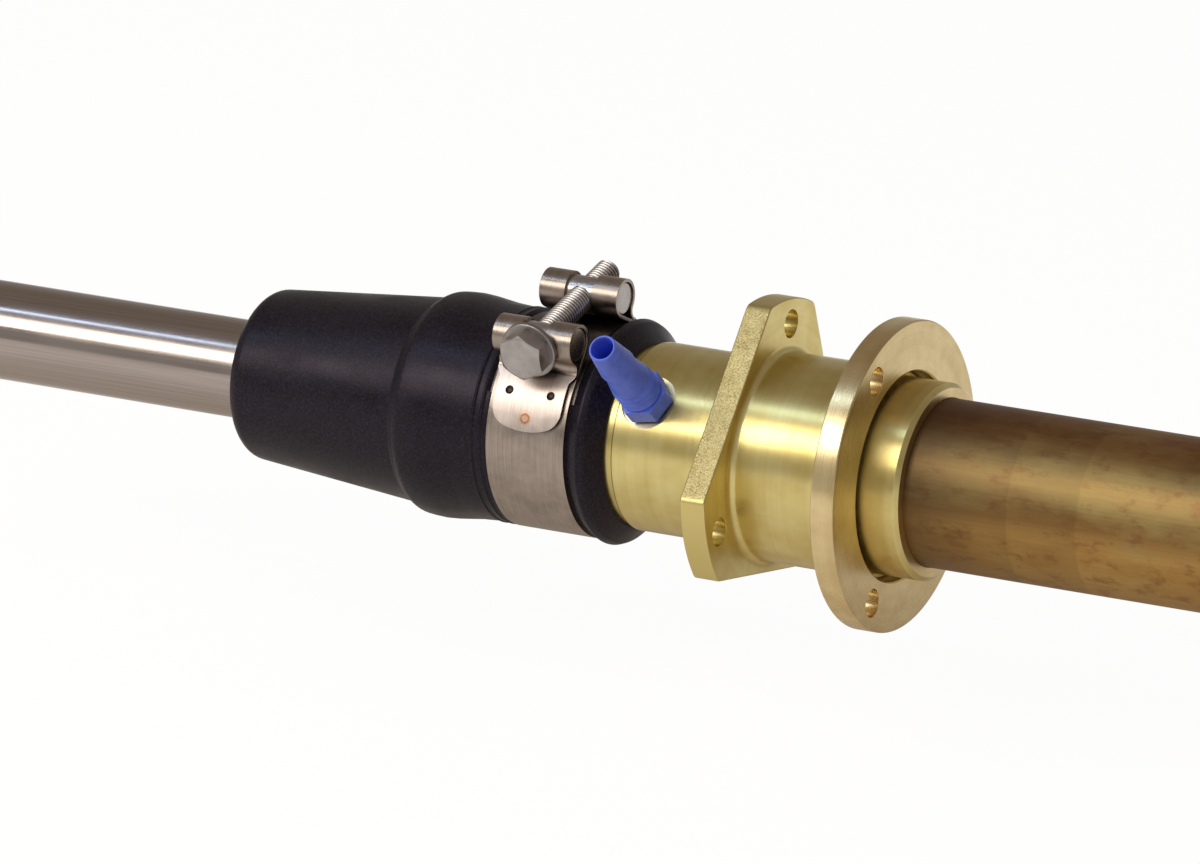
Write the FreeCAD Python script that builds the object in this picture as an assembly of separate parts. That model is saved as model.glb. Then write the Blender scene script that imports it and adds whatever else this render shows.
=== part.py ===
import FreeCAD, Part
import math
import os

# Stern gland of a 30 mm propeller shaft: seal boot, clamp, brass casting, loose ring and stern tube.
# Lengths are in millimetres. X is the shaft's axis, from the engine (-X) to the propeller (+X), and Z is up.
# The origin is on the axis, in the aft face of the three-lobed flange.
# Angles about the axis are polar, in degrees: 0 is +Y and 90 is +Z.

# Fits
RUNNING_CLEARANCE = 0.05
FOLD_GAP = 0.05

# Shaft
SHAFT_DIAMETER = 30.0
SHAFT_FORWARD_END = -292.0
SHAFT_AFT_END = 180.0
SHAFT_CHAMFER = 1.5

# Stern tube
TUBE_DIAMETER = 50.0
TUBE_WALL = 2.5
TUBE_SOCKET_START = 28.0
TUBE_AFT_END = 165.0
TUBE_CHAMFER = 0.6

# Brass casting
CASTING_BORE = 40.0
SPIGOT_DIAMETER = 54.0
SPIGOT_FORWARD_END = -92.0
BODY_DIAMETER = 56.5
BODY_FORWARD_END = -41.2
FLANGE_THICKNESS = 8.0
FLANGE_LOBE_RADIUS = 47.1
FLANGE_FLAT_DISTANCE = 34.7
FLANGE_FIRST_LOBE = 79.0
FLANGE_CORNER_RADIUS = 3.0
FLANGE_EDGE_CHAMFER = 0.5
FLANGE_HOLE_RIM = 3.45
BARREL_DIAMETER = 62.3
BARREL_AFT_END = 36.0
COLLAR_STEP = 1.85
COLLAR_AFT_END = 53.5
FORWARD_ROOT_RADIUS = 3.0
AFT_ROOT_RADIUS = 2.2
CASTING_CHAMFER = 1.0
COLLAR_CHAMFER = 1.3

# Loose ring flange
RING_DIAMETER = 92.6
RING_THICKNESS = 7.5
RING_FORWARD_FACE = 34.0
RING_FIRST_HOLE = 118.5
RING_CHAMFER = 0.5

# Bolt holes of both flanges
FLANGE_HOLES = 3
FLANGE_HOLE_DIAMETER = 8.5

# Water-lubricated bearings
BEARING_SHELL_WALL = 2.5
BEARING_FLUTES = 8
FLUTE_DIAMETER = 4.0
LINER_FLUTE_FLOOR = 1.95
INNER_BEARING_START = -22.0
OUTER_BEARING_START = 100.0
OUTER_BEARING_END = 163.5

# Set screws of the bearings
INNER_SCREW_DIAMETER = 6.0
INNER_SCREW_PLACE = 14.0
INNER_SCREW_ANGLES = (20.0,)
OUTER_SCREW_DIAMETER = 5.0
OUTER_SCREW_PLACE = 152.0
OUTER_SCREW_ANGLES = (90.0, 270.0)
SCREW_RECESS = 0.4
SCREW_BITE = 2.1
SCREW_SOCKET_RATIO = 0.5

# Water nipple
NIPPLE_PLACE = -32.0
NIPPLE_ANGLE = 140.0
SPOT_FACE_DIAMETER = 17.0
SPOT_FACE_RADIUS = 26.9
NIPPLE_THREAD_DIAMETER = 9.7
NIPPLE_THREAD_LENGTH = 6.4
NIPPLE_WASHER_DIAMETER = 13.2
NIPPLE_WASHER_THICKNESS = 1.0
NIPPLE_HEX_FLATS = 13.5
NIPPLE_HEX_TOP = 7.5
NIPPLE_RIB_DIAMETER = 13.0
NIPPLE_RIBS = 3
NIPPLE_RIB_PITCH = 2.8
NIPPLE_MIDDLE_DIAMETER = 12.2
NIPPLE_MIDDLE_TOP = 26.0
NIPPLE_UPPER_DIAMETER = 10.5
NIPPLE_TIP_DIAMETER = 8.4
NIPPLE_TIP = 38.5
NIPPLE_BORE = 7.0
NIPPLE_THREAD_BORE = 6.0
NIPPLE_BARB_STEP = 0.9

# Seal boot
BOOT_FORWARD_END = -174.0
BOOT_AFT_END = -43.7
BOOT_NOSE_RADIUS = 25.6
BOOT_NOSE_ROUNDING = 5.0
BOOT_CREASE_PLACE = -114.5
BOOT_CREASE_RADIUS = 31.2
BOOT_CREASE_ROUNDING = 1.5
BOOT_STEP_LENGTH = 2.9
BOOT_STEP_RADIUS = 33.5
BOOT_STEP_ROUNDING = 5.0
BOOT_BULGE_PLACE = -105.0
BOOT_BULGE_RADIUS = 34.2
BOOT_BULGE_ROUNDING = 30.0
BOOT_BULGE_TAIL = 11.4
BOOT_TAIL_RISE = 1.0
BOOT_TAIL_ROUNDING = 12.0
BOOT_RIB_PLACES = (-85.7, -82.9)
BOOT_RIB_RISE = 1.0
BOOT_RIB_WIDTH = 1.5
BOOT_SEAT_DIAMETER = 63.4
BOOT_SEAT_STEP = 0.3
BOOT_LIP_CREST_PLACE = -48.9
BOOT_LIP_CREST_RADIUS = 34.0
BOOT_LIP_CREST_WIDTH = 2.0
BOOT_LIP_CREST_FALL = 0.8
BOOT_LIP_CREST_ROUNDING = 1.2
BOOT_LIP_END_THICKNESS = 1.0
BOOT_CHAMBER_RADIUS = 23.0
BOOT_CHAMBER_SLOPE = 8.0
BOOT_LAND_START = -154.0
BOOT_LAND_END = -113.0
BOOT_FLUTES = 6
BOOT_FLUTE_DEPTH = 3.0
BOOT_LIP_WIDTH = 2.5
BOOT_GREASE_LENGTH = 6.0
BOOT_GREASE_RADIUS = 18.0
BOOT_MOUTH_RADIUS = 17.5

# Clamp: its own frame has the gap at the top, and CLAMP_TURN turns it about the axis
CLAMP_TURN = 13.0
BAND_WIDTH = 26.0
BAND_MIDDLE = -67.5
BAND_THICKNESS = 1.0
BAND_CLEARANCE = 0.5
BOLT_RISE = 4.8
BARREL_SPACING = 29.4
CLAMP_BARREL_DIAMETER = 10.0
CLAMP_BARREL_LENGTH = 25.0
FOLD_RADIUS = 3.0
LOOP_SLOT_WIDTH = 9.0
LOOP_SLOT_DEPTH = 4.6
TAB_WIDTH = 23.0
TAB_CORNER_ROUNDING = 6.5
TAB_CORNER_DROP = 2.5
TAB_TIP_ROUNDING = 24.0
TAB_END_ANGLE = 156.0
DIMPLE_ANGLE = 136.0
DIMPLE_SPACING = 13.8
DIMPLE_DIAMETER = 2.2
DIMPLE_DEPTH = 0.5
WELD_ANGLE = 149.0
WELD_DIAMETER = 4.0
BRIDGE_THICKNESS = 0.5
BRIDGE_WIDTH = 28.0
BRIDGE_HALF_ANGLE = 48.0

# Clamp bolt, M8
BOLT_DIAMETER = 8.0
BOLT_PAST_FAR_BARREL = 14.5
BOLT_HEAD_FLATS = 13.0
BOLT_HEAD_HEIGHT = 5.3
BOLT_TIP_CHAMFER = 1.0
BOLT_WASHER_DIAMETER = 17.5
BOLT_WASHER_THICKNESS = 1.6

# Sizes that follow
SHAFT_RADIUS = SHAFT_DIAMETER / 2
BEARING_RADIUS = SHAFT_RADIUS + RUNNING_CLEARANCE
TUBE_RADIUS = TUBE_DIAMETER / 2
TUBE_INNER_RADIUS = TUBE_RADIUS - TUBE_WALL
BORE_RADIUS = CASTING_BORE / 2
SPIGOT_RADIUS = SPIGOT_DIAMETER / 2
BODY_RADIUS = BODY_DIAMETER / 2
BARREL_RADIUS = BARREL_DIAMETER / 2
COLLAR_RADIUS = BARREL_RADIUS - COLLAR_STEP
FLANGE_BOLT_RADIUS = FLANGE_LOBE_RADIUS - FLANGE_HOLE_RIM - FLANGE_HOLE_DIAMETER / 2
RING_RADIUS = RING_DIAMETER / 2
RING_BORE_RADIUS = BARREL_RADIUS + RUNNING_CLEARANCE
RING_BOLT_RADIUS = (RING_BORE_RADIUS + RING_RADIUS) / 2
RING_AFT_FACE = RING_FORWARD_FACE + RING_THICKNESS
SEAT_RADIUS = BOOT_SEAT_DIAMETER / 2
BOLT_HEIGHT = SEAT_RADIUS + BOLT_RISE
BAND_FORWARD_EDGE = BAND_MIDDLE - BAND_WIDTH / 2
BAND_AFT_EDGE = BAND_MIDDLE + BAND_WIDTH / 2
BAND_MIDLINE = SEAT_RADIUS + BAND_THICKNESS / 2
TAB_MIDLINE = BAND_MIDLINE + BAND_THICKNESS + FOLD_GAP
LOOP_MIDLINE = (CLAMP_BARREL_DIAMETER + BAND_THICKNESS) / 2
LOOP_OUTER_RADIUS = LOOP_MIDLINE + BAND_THICKNESS / 2
NEAR_BARREL = -BARREL_SPACING / 2
FAR_BARREL = BARREL_SPACING / 2
CUT_MARGIN = 1.0
ROUNDING_STEP = 30.0

AXIS = FreeCAD.Vector(1, 0, 0)
ORIGIN = FreeCAD.Vector(0, 0, 0)


def polar_point(x, radius, angle):
    """Return the point at a place along the axis, a radius from it and a polar angle about it."""
    turn = math.radians(angle)
    return FreeCAD.Vector(x, radius * math.cos(turn), radius * math.sin(turn))


def polar_direction(angle):
    """Return the unit vector that points away from the axis at a polar angle."""
    return polar_point(0, 1, angle)


def rounded_wire(corners, plane_point):
    """Return a closed wire through corners (u, v, rounding), each rounded by short chords of its own arc."""
    points = []
    for index, (u, v, rounding) in enumerate(corners):
        corner = FreeCAD.Vector(u, v, 0)
        if rounding == 0:
            points.append(corner)
            continue
        before = (FreeCAD.Vector(*corners[index - 1][:2], 0) - corner).normalize()
        after = (FreeCAD.Vector(*corners[(index + 1) % len(corners)][:2], 0) - corner).normalize()
        half_angle = before.getAngle(after) / 2
        centre = corner + (before + after).normalize() * (rounding / math.sin(half_angle))
        start = corner + before * (rounding / math.tan(half_angle)) - centre
        turn = math.degrees(math.pi - 2 * half_angle)
        pivot = before.cross(after)
        chords = max(1, round(turn / ROUNDING_STEP))
        for step in range(chords + 1):
            points.append(centre + FreeCAD.Rotation(pivot, -turn * step / chords).multVec(start))
    return Part.makePolygon([plane_point(point) for point in points + points[:1]])


def turned(corners):
    """Return the solid turned about the shaft's axis from corners (x, radius, rounding)."""
    wire = rounded_wire(corners, lambda point: FreeCAD.Vector(point.x, 0, point.y))
    return Part.Face(wire).revolve(ORIGIN, AXIS, 360)


def plain(corners):
    """Add a zero rounding to corners that have none."""
    return [(*corner, 0) for corner in corners]


def rod(diameter, start, direction, length):
    """Return a round rod from a start point along a direction."""
    return Part.makeCylinder(diameter / 2, length, start, direction)


def hexagon_prism(flats, height, base, direction, corner_direction):
    """Return a hexagonal prism over its base centre, one corner pointing along corner_direction."""
    corner_radius = flats / math.sqrt(3)
    across = FreeCAD.Vector(corner_direction).normalize() * corner_radius
    corners = [
        base + FreeCAD.Rotation(direction, 60 * side).multVec(across)
        for side in range(7)
    ]
    return Part.Face(Part.makePolygon(corners)).extrude(FreeCAD.Vector(direction) * height)


def bolt_holes(radius, first_angle, start, thickness):
    """Return the drills of a flange's evenly spaced bolt holes, through its whole thickness."""
    length = thickness + 2 * CUT_MARGIN
    angles = [first_angle + 360 / FLANGE_HOLES * hole for hole in range(FLANGE_HOLES)]
    return [
        rod(FLANGE_HOLE_DIAMETER, polar_point(start - CUT_MARGIN, radius, angle), AXIS, length)
        for angle in angles
    ]


def flutes(count, floor_radius, start, end):
    """Return the cutters of evenly spaced water grooves that run along a bore round the shaft."""
    radius = floor_radius - FLUTE_DIAMETER / 2
    return [
        rod(FLUTE_DIAMETER, polar_point(start, radius, 360 / count * (groove + 0.5)), AXIS, end - start)
        for groove in range(count)
    ]


def clamp_placed(shape):
    """Turn a shape from the clamp's own frame to its place about the axis."""
    placed = shape.copy()
    placed.rotate(ORIGIN, AXIS, CLAMP_TURN)
    return placed


# Shaft, tube and bearings

def propeller_shaft():
    """The stainless shaft, plain along its whole length."""
    return turned(plain([
        (SHAFT_FORWARD_END, 0),
        (SHAFT_FORWARD_END, SHAFT_RADIUS - SHAFT_CHAMFER),
        (SHAFT_FORWARD_END + SHAFT_CHAMFER, SHAFT_RADIUS),
        (SHAFT_AFT_END - SHAFT_CHAMFER, SHAFT_RADIUS),
        (SHAFT_AFT_END, SHAFT_RADIUS - SHAFT_CHAMFER),
        (SHAFT_AFT_END, 0),
    ]))


def stern_tube():
    """The drawn tube, seated on the end of its socket, with the holes of its bearing's screws."""
    tube = turned(plain([
        (TUBE_SOCKET_START, TUBE_INNER_RADIUS),
        (TUBE_SOCKET_START, TUBE_RADIUS),
        (TUBE_AFT_END - TUBE_CHAMFER, TUBE_RADIUS),
        (TUBE_AFT_END, TUBE_RADIUS - TUBE_CHAMFER),
        (TUBE_AFT_END, TUBE_INNER_RADIUS),
    ]))
    return tube.cut(screw_holes(OUTER_SCREW_DIAMETER, OUTER_SCREW_PLACE, OUTER_SCREW_ANGLES, TUBE_RADIUS))


def bearing_shell(start, end, screw_diameter, screw_place, screw_angles, surface_radius):
    """A bearing's brass shell, dimpled through where its screws hold it."""
    inner_radius = TUBE_INNER_RADIUS - BEARING_SHELL_WALL
    shell = turned(plain([
        (start, inner_radius),
        (start, TUBE_INNER_RADIUS),
        (end, TUBE_INNER_RADIUS),
        (end, inner_radius),
    ]))
    return shell.cut(screw_holes(screw_diameter, screw_place, screw_angles, surface_radius))


def bearing_liner(start, end):
    """A bearing's rubber liner: lands that carry the shaft, with water grooves between them."""
    outer_radius = TUBE_INNER_RADIUS - BEARING_SHELL_WALL
    liner = turned(plain([
        (start, BEARING_RADIUS),
        (start, outer_radius),
        (end, outer_radius),
        (end, BEARING_RADIUS),
    ]))
    floor_radius = outer_radius - LINER_FLUTE_FLOOR
    return liner.cut(flutes(BEARING_FLUTES, floor_radius, start - CUT_MARGIN, end + CUT_MARGIN))


def screw_tip_radius():
    """How far from the axis the set screws end, part of the way into a bearing's shell."""
    return TUBE_INNER_RADIUS - SCREW_BITE


def screw_holes(diameter, place, angles, surface_radius):
    """Return the drills of radial set screws, from outside a surface to the screws' tips."""
    length = surface_radius + CUT_MARGIN - screw_tip_radius()
    return [
        rod(diameter, polar_point(place, screw_tip_radius(), angle), polar_direction(angle), length)
        for angle in angles
    ]


def set_screws(diameter, place, angles, surface_radius):
    """Radial grub screws with hexagon sockets, just under the surface that they are screwed into."""
    length = surface_radius - SCREW_RECESS - screw_tip_radius()
    socket = diameter * SCREW_SOCKET_RATIO
    screws = []
    for angle in angles:
        outward = polar_direction(angle)
        screw = rod(diameter, polar_point(place, screw_tip_radius(), angle), outward, length)
        socket_base = polar_point(place, screw_tip_radius() + length - socket, angle)
        screws.append(screw.cut(hexagon_prism(socket, socket + CUT_MARGIN, socket_base, outward, AXIS)))
    return Part.makeCompound(screws)


# Brass casting and loose ring

def flange_plate():
    """The three-lobed flange: a disc with three flats, its corners rounded and its edges eased."""
    lobe_angles = [FLANGE_FIRST_LOBE + 120 * lobe for lobe in range(3)]
    corners = [polar_point(-FLANGE_THICKNESS, 2 * FLANGE_FLAT_DISTANCE, angle) for angle in lobe_angles]
    triangle = Part.Face(Part.makePolygon(corners + corners[:1])).extrude(AXIS * FLANGE_THICKNESS)
    disc = rod(2 * FLANGE_LOBE_RADIUS, FreeCAD.Vector(-FLANGE_THICKNESS, 0, 0), AXIS, FLANGE_THICKNESS)
    plate = disc.common(triangle).removeSplitter()
    upright = [edge for edge in plate.Edges if edge.BoundBox.XLength > FLANGE_THICKNESS / 2]
    plate = plate.makeFillet(FLANGE_CORNER_RADIUS, upright)
    outline = [edge for edge in plate.Edges if edge.BoundBox.XLength < CUT_MARGIN]
    return plate.makeChamfer(FLANGE_EDGE_CHAMFER, outline)


def casting_body():
    """The turned form of the casting, from the spigot under the boot to the collar round the tube."""
    hub_radius = FLANGE_FLAT_DISTANCE - CUT_MARGIN
    return turned([
        (SPIGOT_FORWARD_END, BORE_RADIUS, 0),
        (SPIGOT_FORWARD_END, SPIGOT_RADIUS - CASTING_CHAMFER, 0),
        (SPIGOT_FORWARD_END + CASTING_CHAMFER, SPIGOT_RADIUS, 0),
        (BODY_FORWARD_END, SPIGOT_RADIUS, 0),
        (BODY_FORWARD_END, BODY_RADIUS, CASTING_CHAMFER / 2),
        (-FLANGE_THICKNESS, BODY_RADIUS, FORWARD_ROOT_RADIUS),
        (-FLANGE_THICKNESS, hub_radius, 0),
        (0, hub_radius, 0),
        (0, BARREL_RADIUS, AFT_ROOT_RADIUS),
        (BARREL_AFT_END - CASTING_CHAMFER / 2, BARREL_RADIUS, 0),
        (BARREL_AFT_END, BARREL_RADIUS - CASTING_CHAMFER / 2, 0),
        (BARREL_AFT_END, COLLAR_RADIUS, 0),
        (COLLAR_AFT_END - COLLAR_CHAMFER, COLLAR_RADIUS, 0),
        (COLLAR_AFT_END, COLLAR_RADIUS - COLLAR_CHAMFER, 0),
        (COLLAR_AFT_END, TUBE_RADIUS, 0),
        (TUBE_SOCKET_START, TUBE_RADIUS, 0),
        (TUBE_SOCKET_START, TUBE_INNER_RADIUS, 0),
        (INNER_BEARING_START, TUBE_INNER_RADIUS, 0),
        (INNER_BEARING_START, BORE_RADIUS, 0),
    ])


def stern_casting():
    """The brass casting in one piece: spigot, body with the water port, flange, barrel and collar."""
    outward = polar_direction(NIPPLE_ANGLE)
    drills = bolt_holes(FLANGE_BOLT_RADIUS, FLANGE_FIRST_LOBE, -FLANGE_THICKNESS, FLANGE_THICKNESS)
    drills += screw_holes(INNER_SCREW_DIAMETER, INNER_SCREW_PLACE, INNER_SCREW_ANGLES, BARREL_RADIUS)
    spot_face = rod(SPOT_FACE_DIAMETER, polar_point(NIPPLE_PLACE, SPOT_FACE_RADIUS, NIPPLE_ANGLE),
                    outward, BODY_RADIUS)
    water_port = rod(NIPPLE_THREAD_DIAMETER, polar_point(NIPPLE_PLACE, SHAFT_RADIUS, NIPPLE_ANGLE),
                     outward, BODY_RADIUS)
    body = casting_body()
    bored_plate = flange_plate().cut(rod(2 * BODY_RADIUS, FreeCAD.Vector(-FLANGE_THICKNESS, 0, 0),
                                         AXIS, FLANGE_THICKNESS))
    return body.fuse(bored_plate).removeSplitter().cut(drills + [spot_face, water_port])


def ring_flange():
    """The loose ring, bored to run on the casting's barrel."""
    ring = turned(plain([
        (RING_FORWARD_FACE, RING_BORE_RADIUS),
        (RING_FORWARD_FACE, RING_RADIUS - RING_CHAMFER),
        (RING_FORWARD_FACE + RING_CHAMFER, RING_RADIUS),
        (RING_AFT_FACE - RING_CHAMFER, RING_RADIUS),
        (RING_AFT_FACE, RING_RADIUS - RING_CHAMFER),
        (RING_AFT_FACE, RING_BORE_RADIUS + RING_CHAMFER),
        (RING_AFT_FACE - RING_CHAMFER, RING_BORE_RADIUS),
    ]))
    return ring.cut(bolt_holes(RING_BOLT_RADIUS, RING_FIRST_HOLE, RING_FORWARD_FACE, RING_THICKNESS))


# Water nipple

def nipple_placed(shape):
    """Move a shape from the X axis, with the spot face at x = 0, to the nipple's port."""
    placed = shape.copy()
    spin = FreeCAD.Rotation(AXIS, polar_direction(NIPPLE_ANGLE))
    placed.Placement = FreeCAD.Placement(polar_point(NIPPLE_PLACE, SPOT_FACE_RADIUS, NIPPLE_ANGLE), spin)
    return placed


def nipple_outline():
    """The nipple's turned outline above its hexagon: ribs, then two barbs that narrow to the tip."""
    root_radius = NIPPLE_RIB_DIAMETER / 2 - NIPPLE_BARB_STEP / 2
    corners = [(NIPPLE_HEX_TOP - CUT_MARGIN, NIPPLE_BORE / 2), (NIPPLE_HEX_TOP - CUT_MARGIN, root_radius)]
    for rib in range(NIPPLE_RIBS):
        start = NIPPLE_HEX_TOP + NIPPLE_RIB_PITCH * rib
        corners.append((start + NIPPLE_RIB_PITCH / 4, NIPPLE_RIB_DIAMETER / 2))
        corners.append((start + NIPPLE_RIB_PITCH, root_radius))
    ribs_top = NIPPLE_HEX_TOP + NIPPLE_RIB_PITCH * NIPPLE_RIBS
    corners += [
        (ribs_top + NIPPLE_BARB_STEP / 2, NIPPLE_MIDDLE_DIAMETER / 2),
        (NIPPLE_MIDDLE_TOP - NIPPLE_BARB_STEP / 2, NIPPLE_MIDDLE_DIAMETER / 2 - NIPPLE_BARB_STEP),
        (NIPPLE_MIDDLE_TOP, NIPPLE_UPPER_DIAMETER / 2),
        (NIPPLE_TIP - NIPPLE_BARB_STEP / 2, NIPPLE_TIP_DIAMETER / 2),
        (NIPPLE_TIP, NIPPLE_TIP_DIAMETER / 2 - NIPPLE_BARB_STEP / 3),
        (NIPPLE_TIP, NIPPLE_BORE / 2),
    ]
    return plain(corners)


def hose_nipple():
    """The plastic nipple: threaded stub, hexagon, ribs and barbs, bored through for the water."""
    hexagon = hexagon_prism(NIPPLE_HEX_FLATS, NIPPLE_HEX_TOP - NIPPLE_WASHER_THICKNESS,
                            FreeCAD.Vector(NIPPLE_WASHER_THICKNESS, 0, 0), AXIS, FreeCAD.Vector(0, 0, 1))
    stub = rod(NIPPLE_THREAD_DIAMETER, FreeCAD.Vector(-NIPPLE_THREAD_LENGTH, 0, 0), AXIS,
               NIPPLE_THREAD_LENGTH + NIPPLE_HEX_TOP)
    tail = turned(nipple_outline())
    thread_bore = rod(NIPPLE_THREAD_BORE, FreeCAD.Vector(-NIPPLE_THREAD_LENGTH - CUT_MARGIN, 0, 0), AXIS,
                      NIPPLE_TIP)
    bore = rod(NIPPLE_BORE, FreeCAD.Vector(NIPPLE_WASHER_THICKNESS, 0, 0), AXIS, NIPPLE_TIP)
    return nipple_placed(stub.fuse([hexagon, tail]).removeSplitter().cut([thread_bore, bore]))


def nipple_seal_washer():
    """The flat sealing washer between the spot face and the nipple's hexagon."""
    return nipple_placed(turned(plain([
        (0, NIPPLE_THREAD_DIAMETER / 2),
        (0, NIPPLE_WASHER_DIAMETER / 2),
        (NIPPLE_WASHER_THICKNESS, NIPPLE_WASHER_DIAMETER / 2),
        (NIPPLE_WASHER_THICKNESS, NIPPLE_THREAD_DIAMETER / 2),
    ])))


# Seal boot

def boot_outside():
    """The boot's outer outline, from its nose to its aft lip, as corners with their roundings."""
    half_crest = BOOT_LIP_CREST_WIDTH / 2
    return [
        (BOOT_FORWARD_END, BOOT_NOSE_RADIUS, BOOT_NOSE_ROUNDING),
        (BOOT_CREASE_PLACE, BOOT_CREASE_RADIUS, BOOT_CREASE_ROUNDING),
        (BOOT_CREASE_PLACE + BOOT_STEP_LENGTH, BOOT_STEP_RADIUS, BOOT_STEP_ROUNDING),
        (BOOT_BULGE_PLACE, BOOT_BULGE_RADIUS, BOOT_BULGE_ROUNDING),
        (BOOT_BULGE_PLACE + BOOT_BULGE_TAIL, SEAT_RADIUS + BOOT_TAIL_RISE, BOOT_TAIL_ROUNDING),
        (BAND_FORWARD_EDGE - BAND_CLEARANCE, SEAT_RADIUS + BOOT_SEAT_STEP, 0),
        (BAND_FORWARD_EDGE - BAND_CLEARANCE, SEAT_RADIUS, 0),
        (BAND_AFT_EDGE + BAND_CLEARANCE, SEAT_RADIUS, 0),
        (BOOT_LIP_CREST_PLACE - half_crest, BOOT_LIP_CREST_RADIUS, BOOT_LIP_CREST_ROUNDING),
        (BOOT_LIP_CREST_PLACE + half_crest, BOOT_LIP_CREST_RADIUS - BOOT_LIP_CREST_FALL, 0),
        (BOOT_AFT_END, SPIGOT_RADIUS + BOOT_LIP_END_THICKNESS, 0),
    ]


def boot_inside():
    """The boot's bore, from aft: spigot socket, water chamber, shaft land, grease groove, two lips."""
    grease_start = BOOT_LAND_START - BOOT_GREASE_LENGTH
    second_lip = grease_start - BOOT_LIP_WIDTH
    first_lip = second_lip - 2 * BOOT_LIP_WIDTH
    return plain([
        (BOOT_AFT_END, SPIGOT_RADIUS),
        (SPIGOT_FORWARD_END + CASTING_CHAMFER, SPIGOT_RADIUS),
        (SPIGOT_FORWARD_END, SPIGOT_RADIUS - CASTING_CHAMFER),
        (SPIGOT_FORWARD_END, BOOT_CHAMBER_RADIUS),
        (BOOT_LAND_END + BOOT_CHAMBER_SLOPE, BOOT_CHAMBER_RADIUS),
        (BOOT_LAND_END, BEARING_RADIUS),
        (BOOT_LAND_START, BEARING_RADIUS),
        (BOOT_LAND_START, BOOT_GREASE_RADIUS),
        (grease_start, BOOT_GREASE_RADIUS),
        (grease_start, BEARING_RADIUS),
        (second_lip, BEARING_RADIUS),
        (second_lip - BOOT_LIP_WIDTH / 2, BOOT_MOUTH_RADIUS),
        (first_lip + BOOT_LIP_WIDTH, BOOT_MOUTH_RADIUS),
        (first_lip + BOOT_LIP_WIDTH / 2, BEARING_RADIUS),
        (first_lip - BOOT_LIP_WIDTH / 2, BEARING_RADIUS),
        (BOOT_FORWARD_END, BOOT_MOUTH_RADIUS),
    ])


def boot_rib(place):
    """One fine moulded ridge round the boot, just forward of the band."""
    return turned(plain([
        (place - BOOT_RIB_WIDTH / 2, SPIGOT_RADIUS),
        (place - BOOT_RIB_WIDTH / 2, SEAT_RADIUS),
        (place, SEAT_RADIUS + BOOT_RIB_RISE),
        (place + BOOT_RIB_WIDTH / 2, SEAT_RADIUS),
        (place + BOOT_RIB_WIDTH / 2, SPIGOT_RADIUS),
    ]))


def seal_boot():
    """The moulded rubber boot, with its shaft lips, grooves and land, dented by the clamp's bridge."""
    boot = turned(boot_outside() + boot_inside())
    boot = boot.fuse([boot_rib(place) for place in BOOT_RIB_PLACES])
    grooves = flutes(BOOT_FLUTES, BEARING_RADIUS + BOOT_FLUTE_DEPTH, BOOT_LAND_START - CUT_MARGIN,
                     BOOT_LAND_END + BOOT_CHAMBER_SLOPE)
    return boot.cut(grooves + [clamp_bridge()])


# Clamp

def along_x(wire, start, end):
    """Return the solid between two places along the axis that has a wire's section."""
    face = Part.Face(wire)
    face.translate(AXIS * start)
    return face.extrude(AXIS * (end - start))


def sector_wire(centre, inner, outer, start, end):
    """Return the outline of a bent strip: an annulus sector about a centre in the clamp's section."""
    middle = (start + end) / 2
    inner_arc = Part.Arc(*[centre + polar_point(0, inner, angle) for angle in (start, middle, end)])
    outer_arc = Part.Arc(*[centre + polar_point(0, outer, angle) for angle in (start, middle, end)])
    caps = [
        Part.makeLine(centre + polar_point(0, inner, angle), centre + polar_point(0, outer, angle))
        for angle in (start, end)
    ]
    return Part.Wire(Part.__sortEdges__([inner_arc.toShape(), caps[1], outer_arc.toShape(), caps[0]]))


def bent_strip(centre, midline, start, end, width):
    """Return one arc of the band's strip, of a given width, bent about a centre."""
    half = BAND_THICKNESS / 2
    wire = sector_wire(centre, midline - half, midline + half, start, end)
    return along_x(wire, BAND_MIDDLE - width / 2, BAND_MIDDLE + width / 2)


def straight_strip(start, end, width):
    """Return one straight stretch of the band's strip between two points of its midline."""
    side = AXIS.cross(end - start).normalize() * (BAND_THICKNESS / 2)
    corners = [start - side, end - side, end + side, start + side, start - side]
    return along_x(Part.makePolygon(corners), BAND_MIDDLE - width / 2, BAND_MIDDLE + width / 2)


def tab_outline_prism():
    """The folded-back tab's outline seen from outside: parallel sides and broadly rounded corners."""
    outward = polar_direction(DIMPLE_ANGLE)
    downward = polar_direction(DIMPLE_ANGLE + 90)
    tip = TAB_MIDLINE * math.sin(math.radians(TAB_END_ANGLE - DIMPLE_ANGLE))
    half = TAB_WIDTH / 2
    corners = [
        (-half, -SEAT_RADIUS, 0),
        (-half, tip - TAB_CORNER_DROP, TAB_CORNER_ROUNDING),
        (0, tip, TAB_TIP_ROUNDING),
        (half, tip - TAB_CORNER_DROP, TAB_CORNER_ROUNDING),
        (half, -SEAT_RADIUS, 0),
    ]
    base = FreeCAD.Vector(BAND_MIDDLE, 0, 0) + outward * (SEAT_RADIUS / 2)
    wire = rounded_wire(corners, lambda point: base + AXIS * point.x + downward * point.y)
    return Part.Face(wire).extrude(outward * SEAT_RADIUS)


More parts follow.
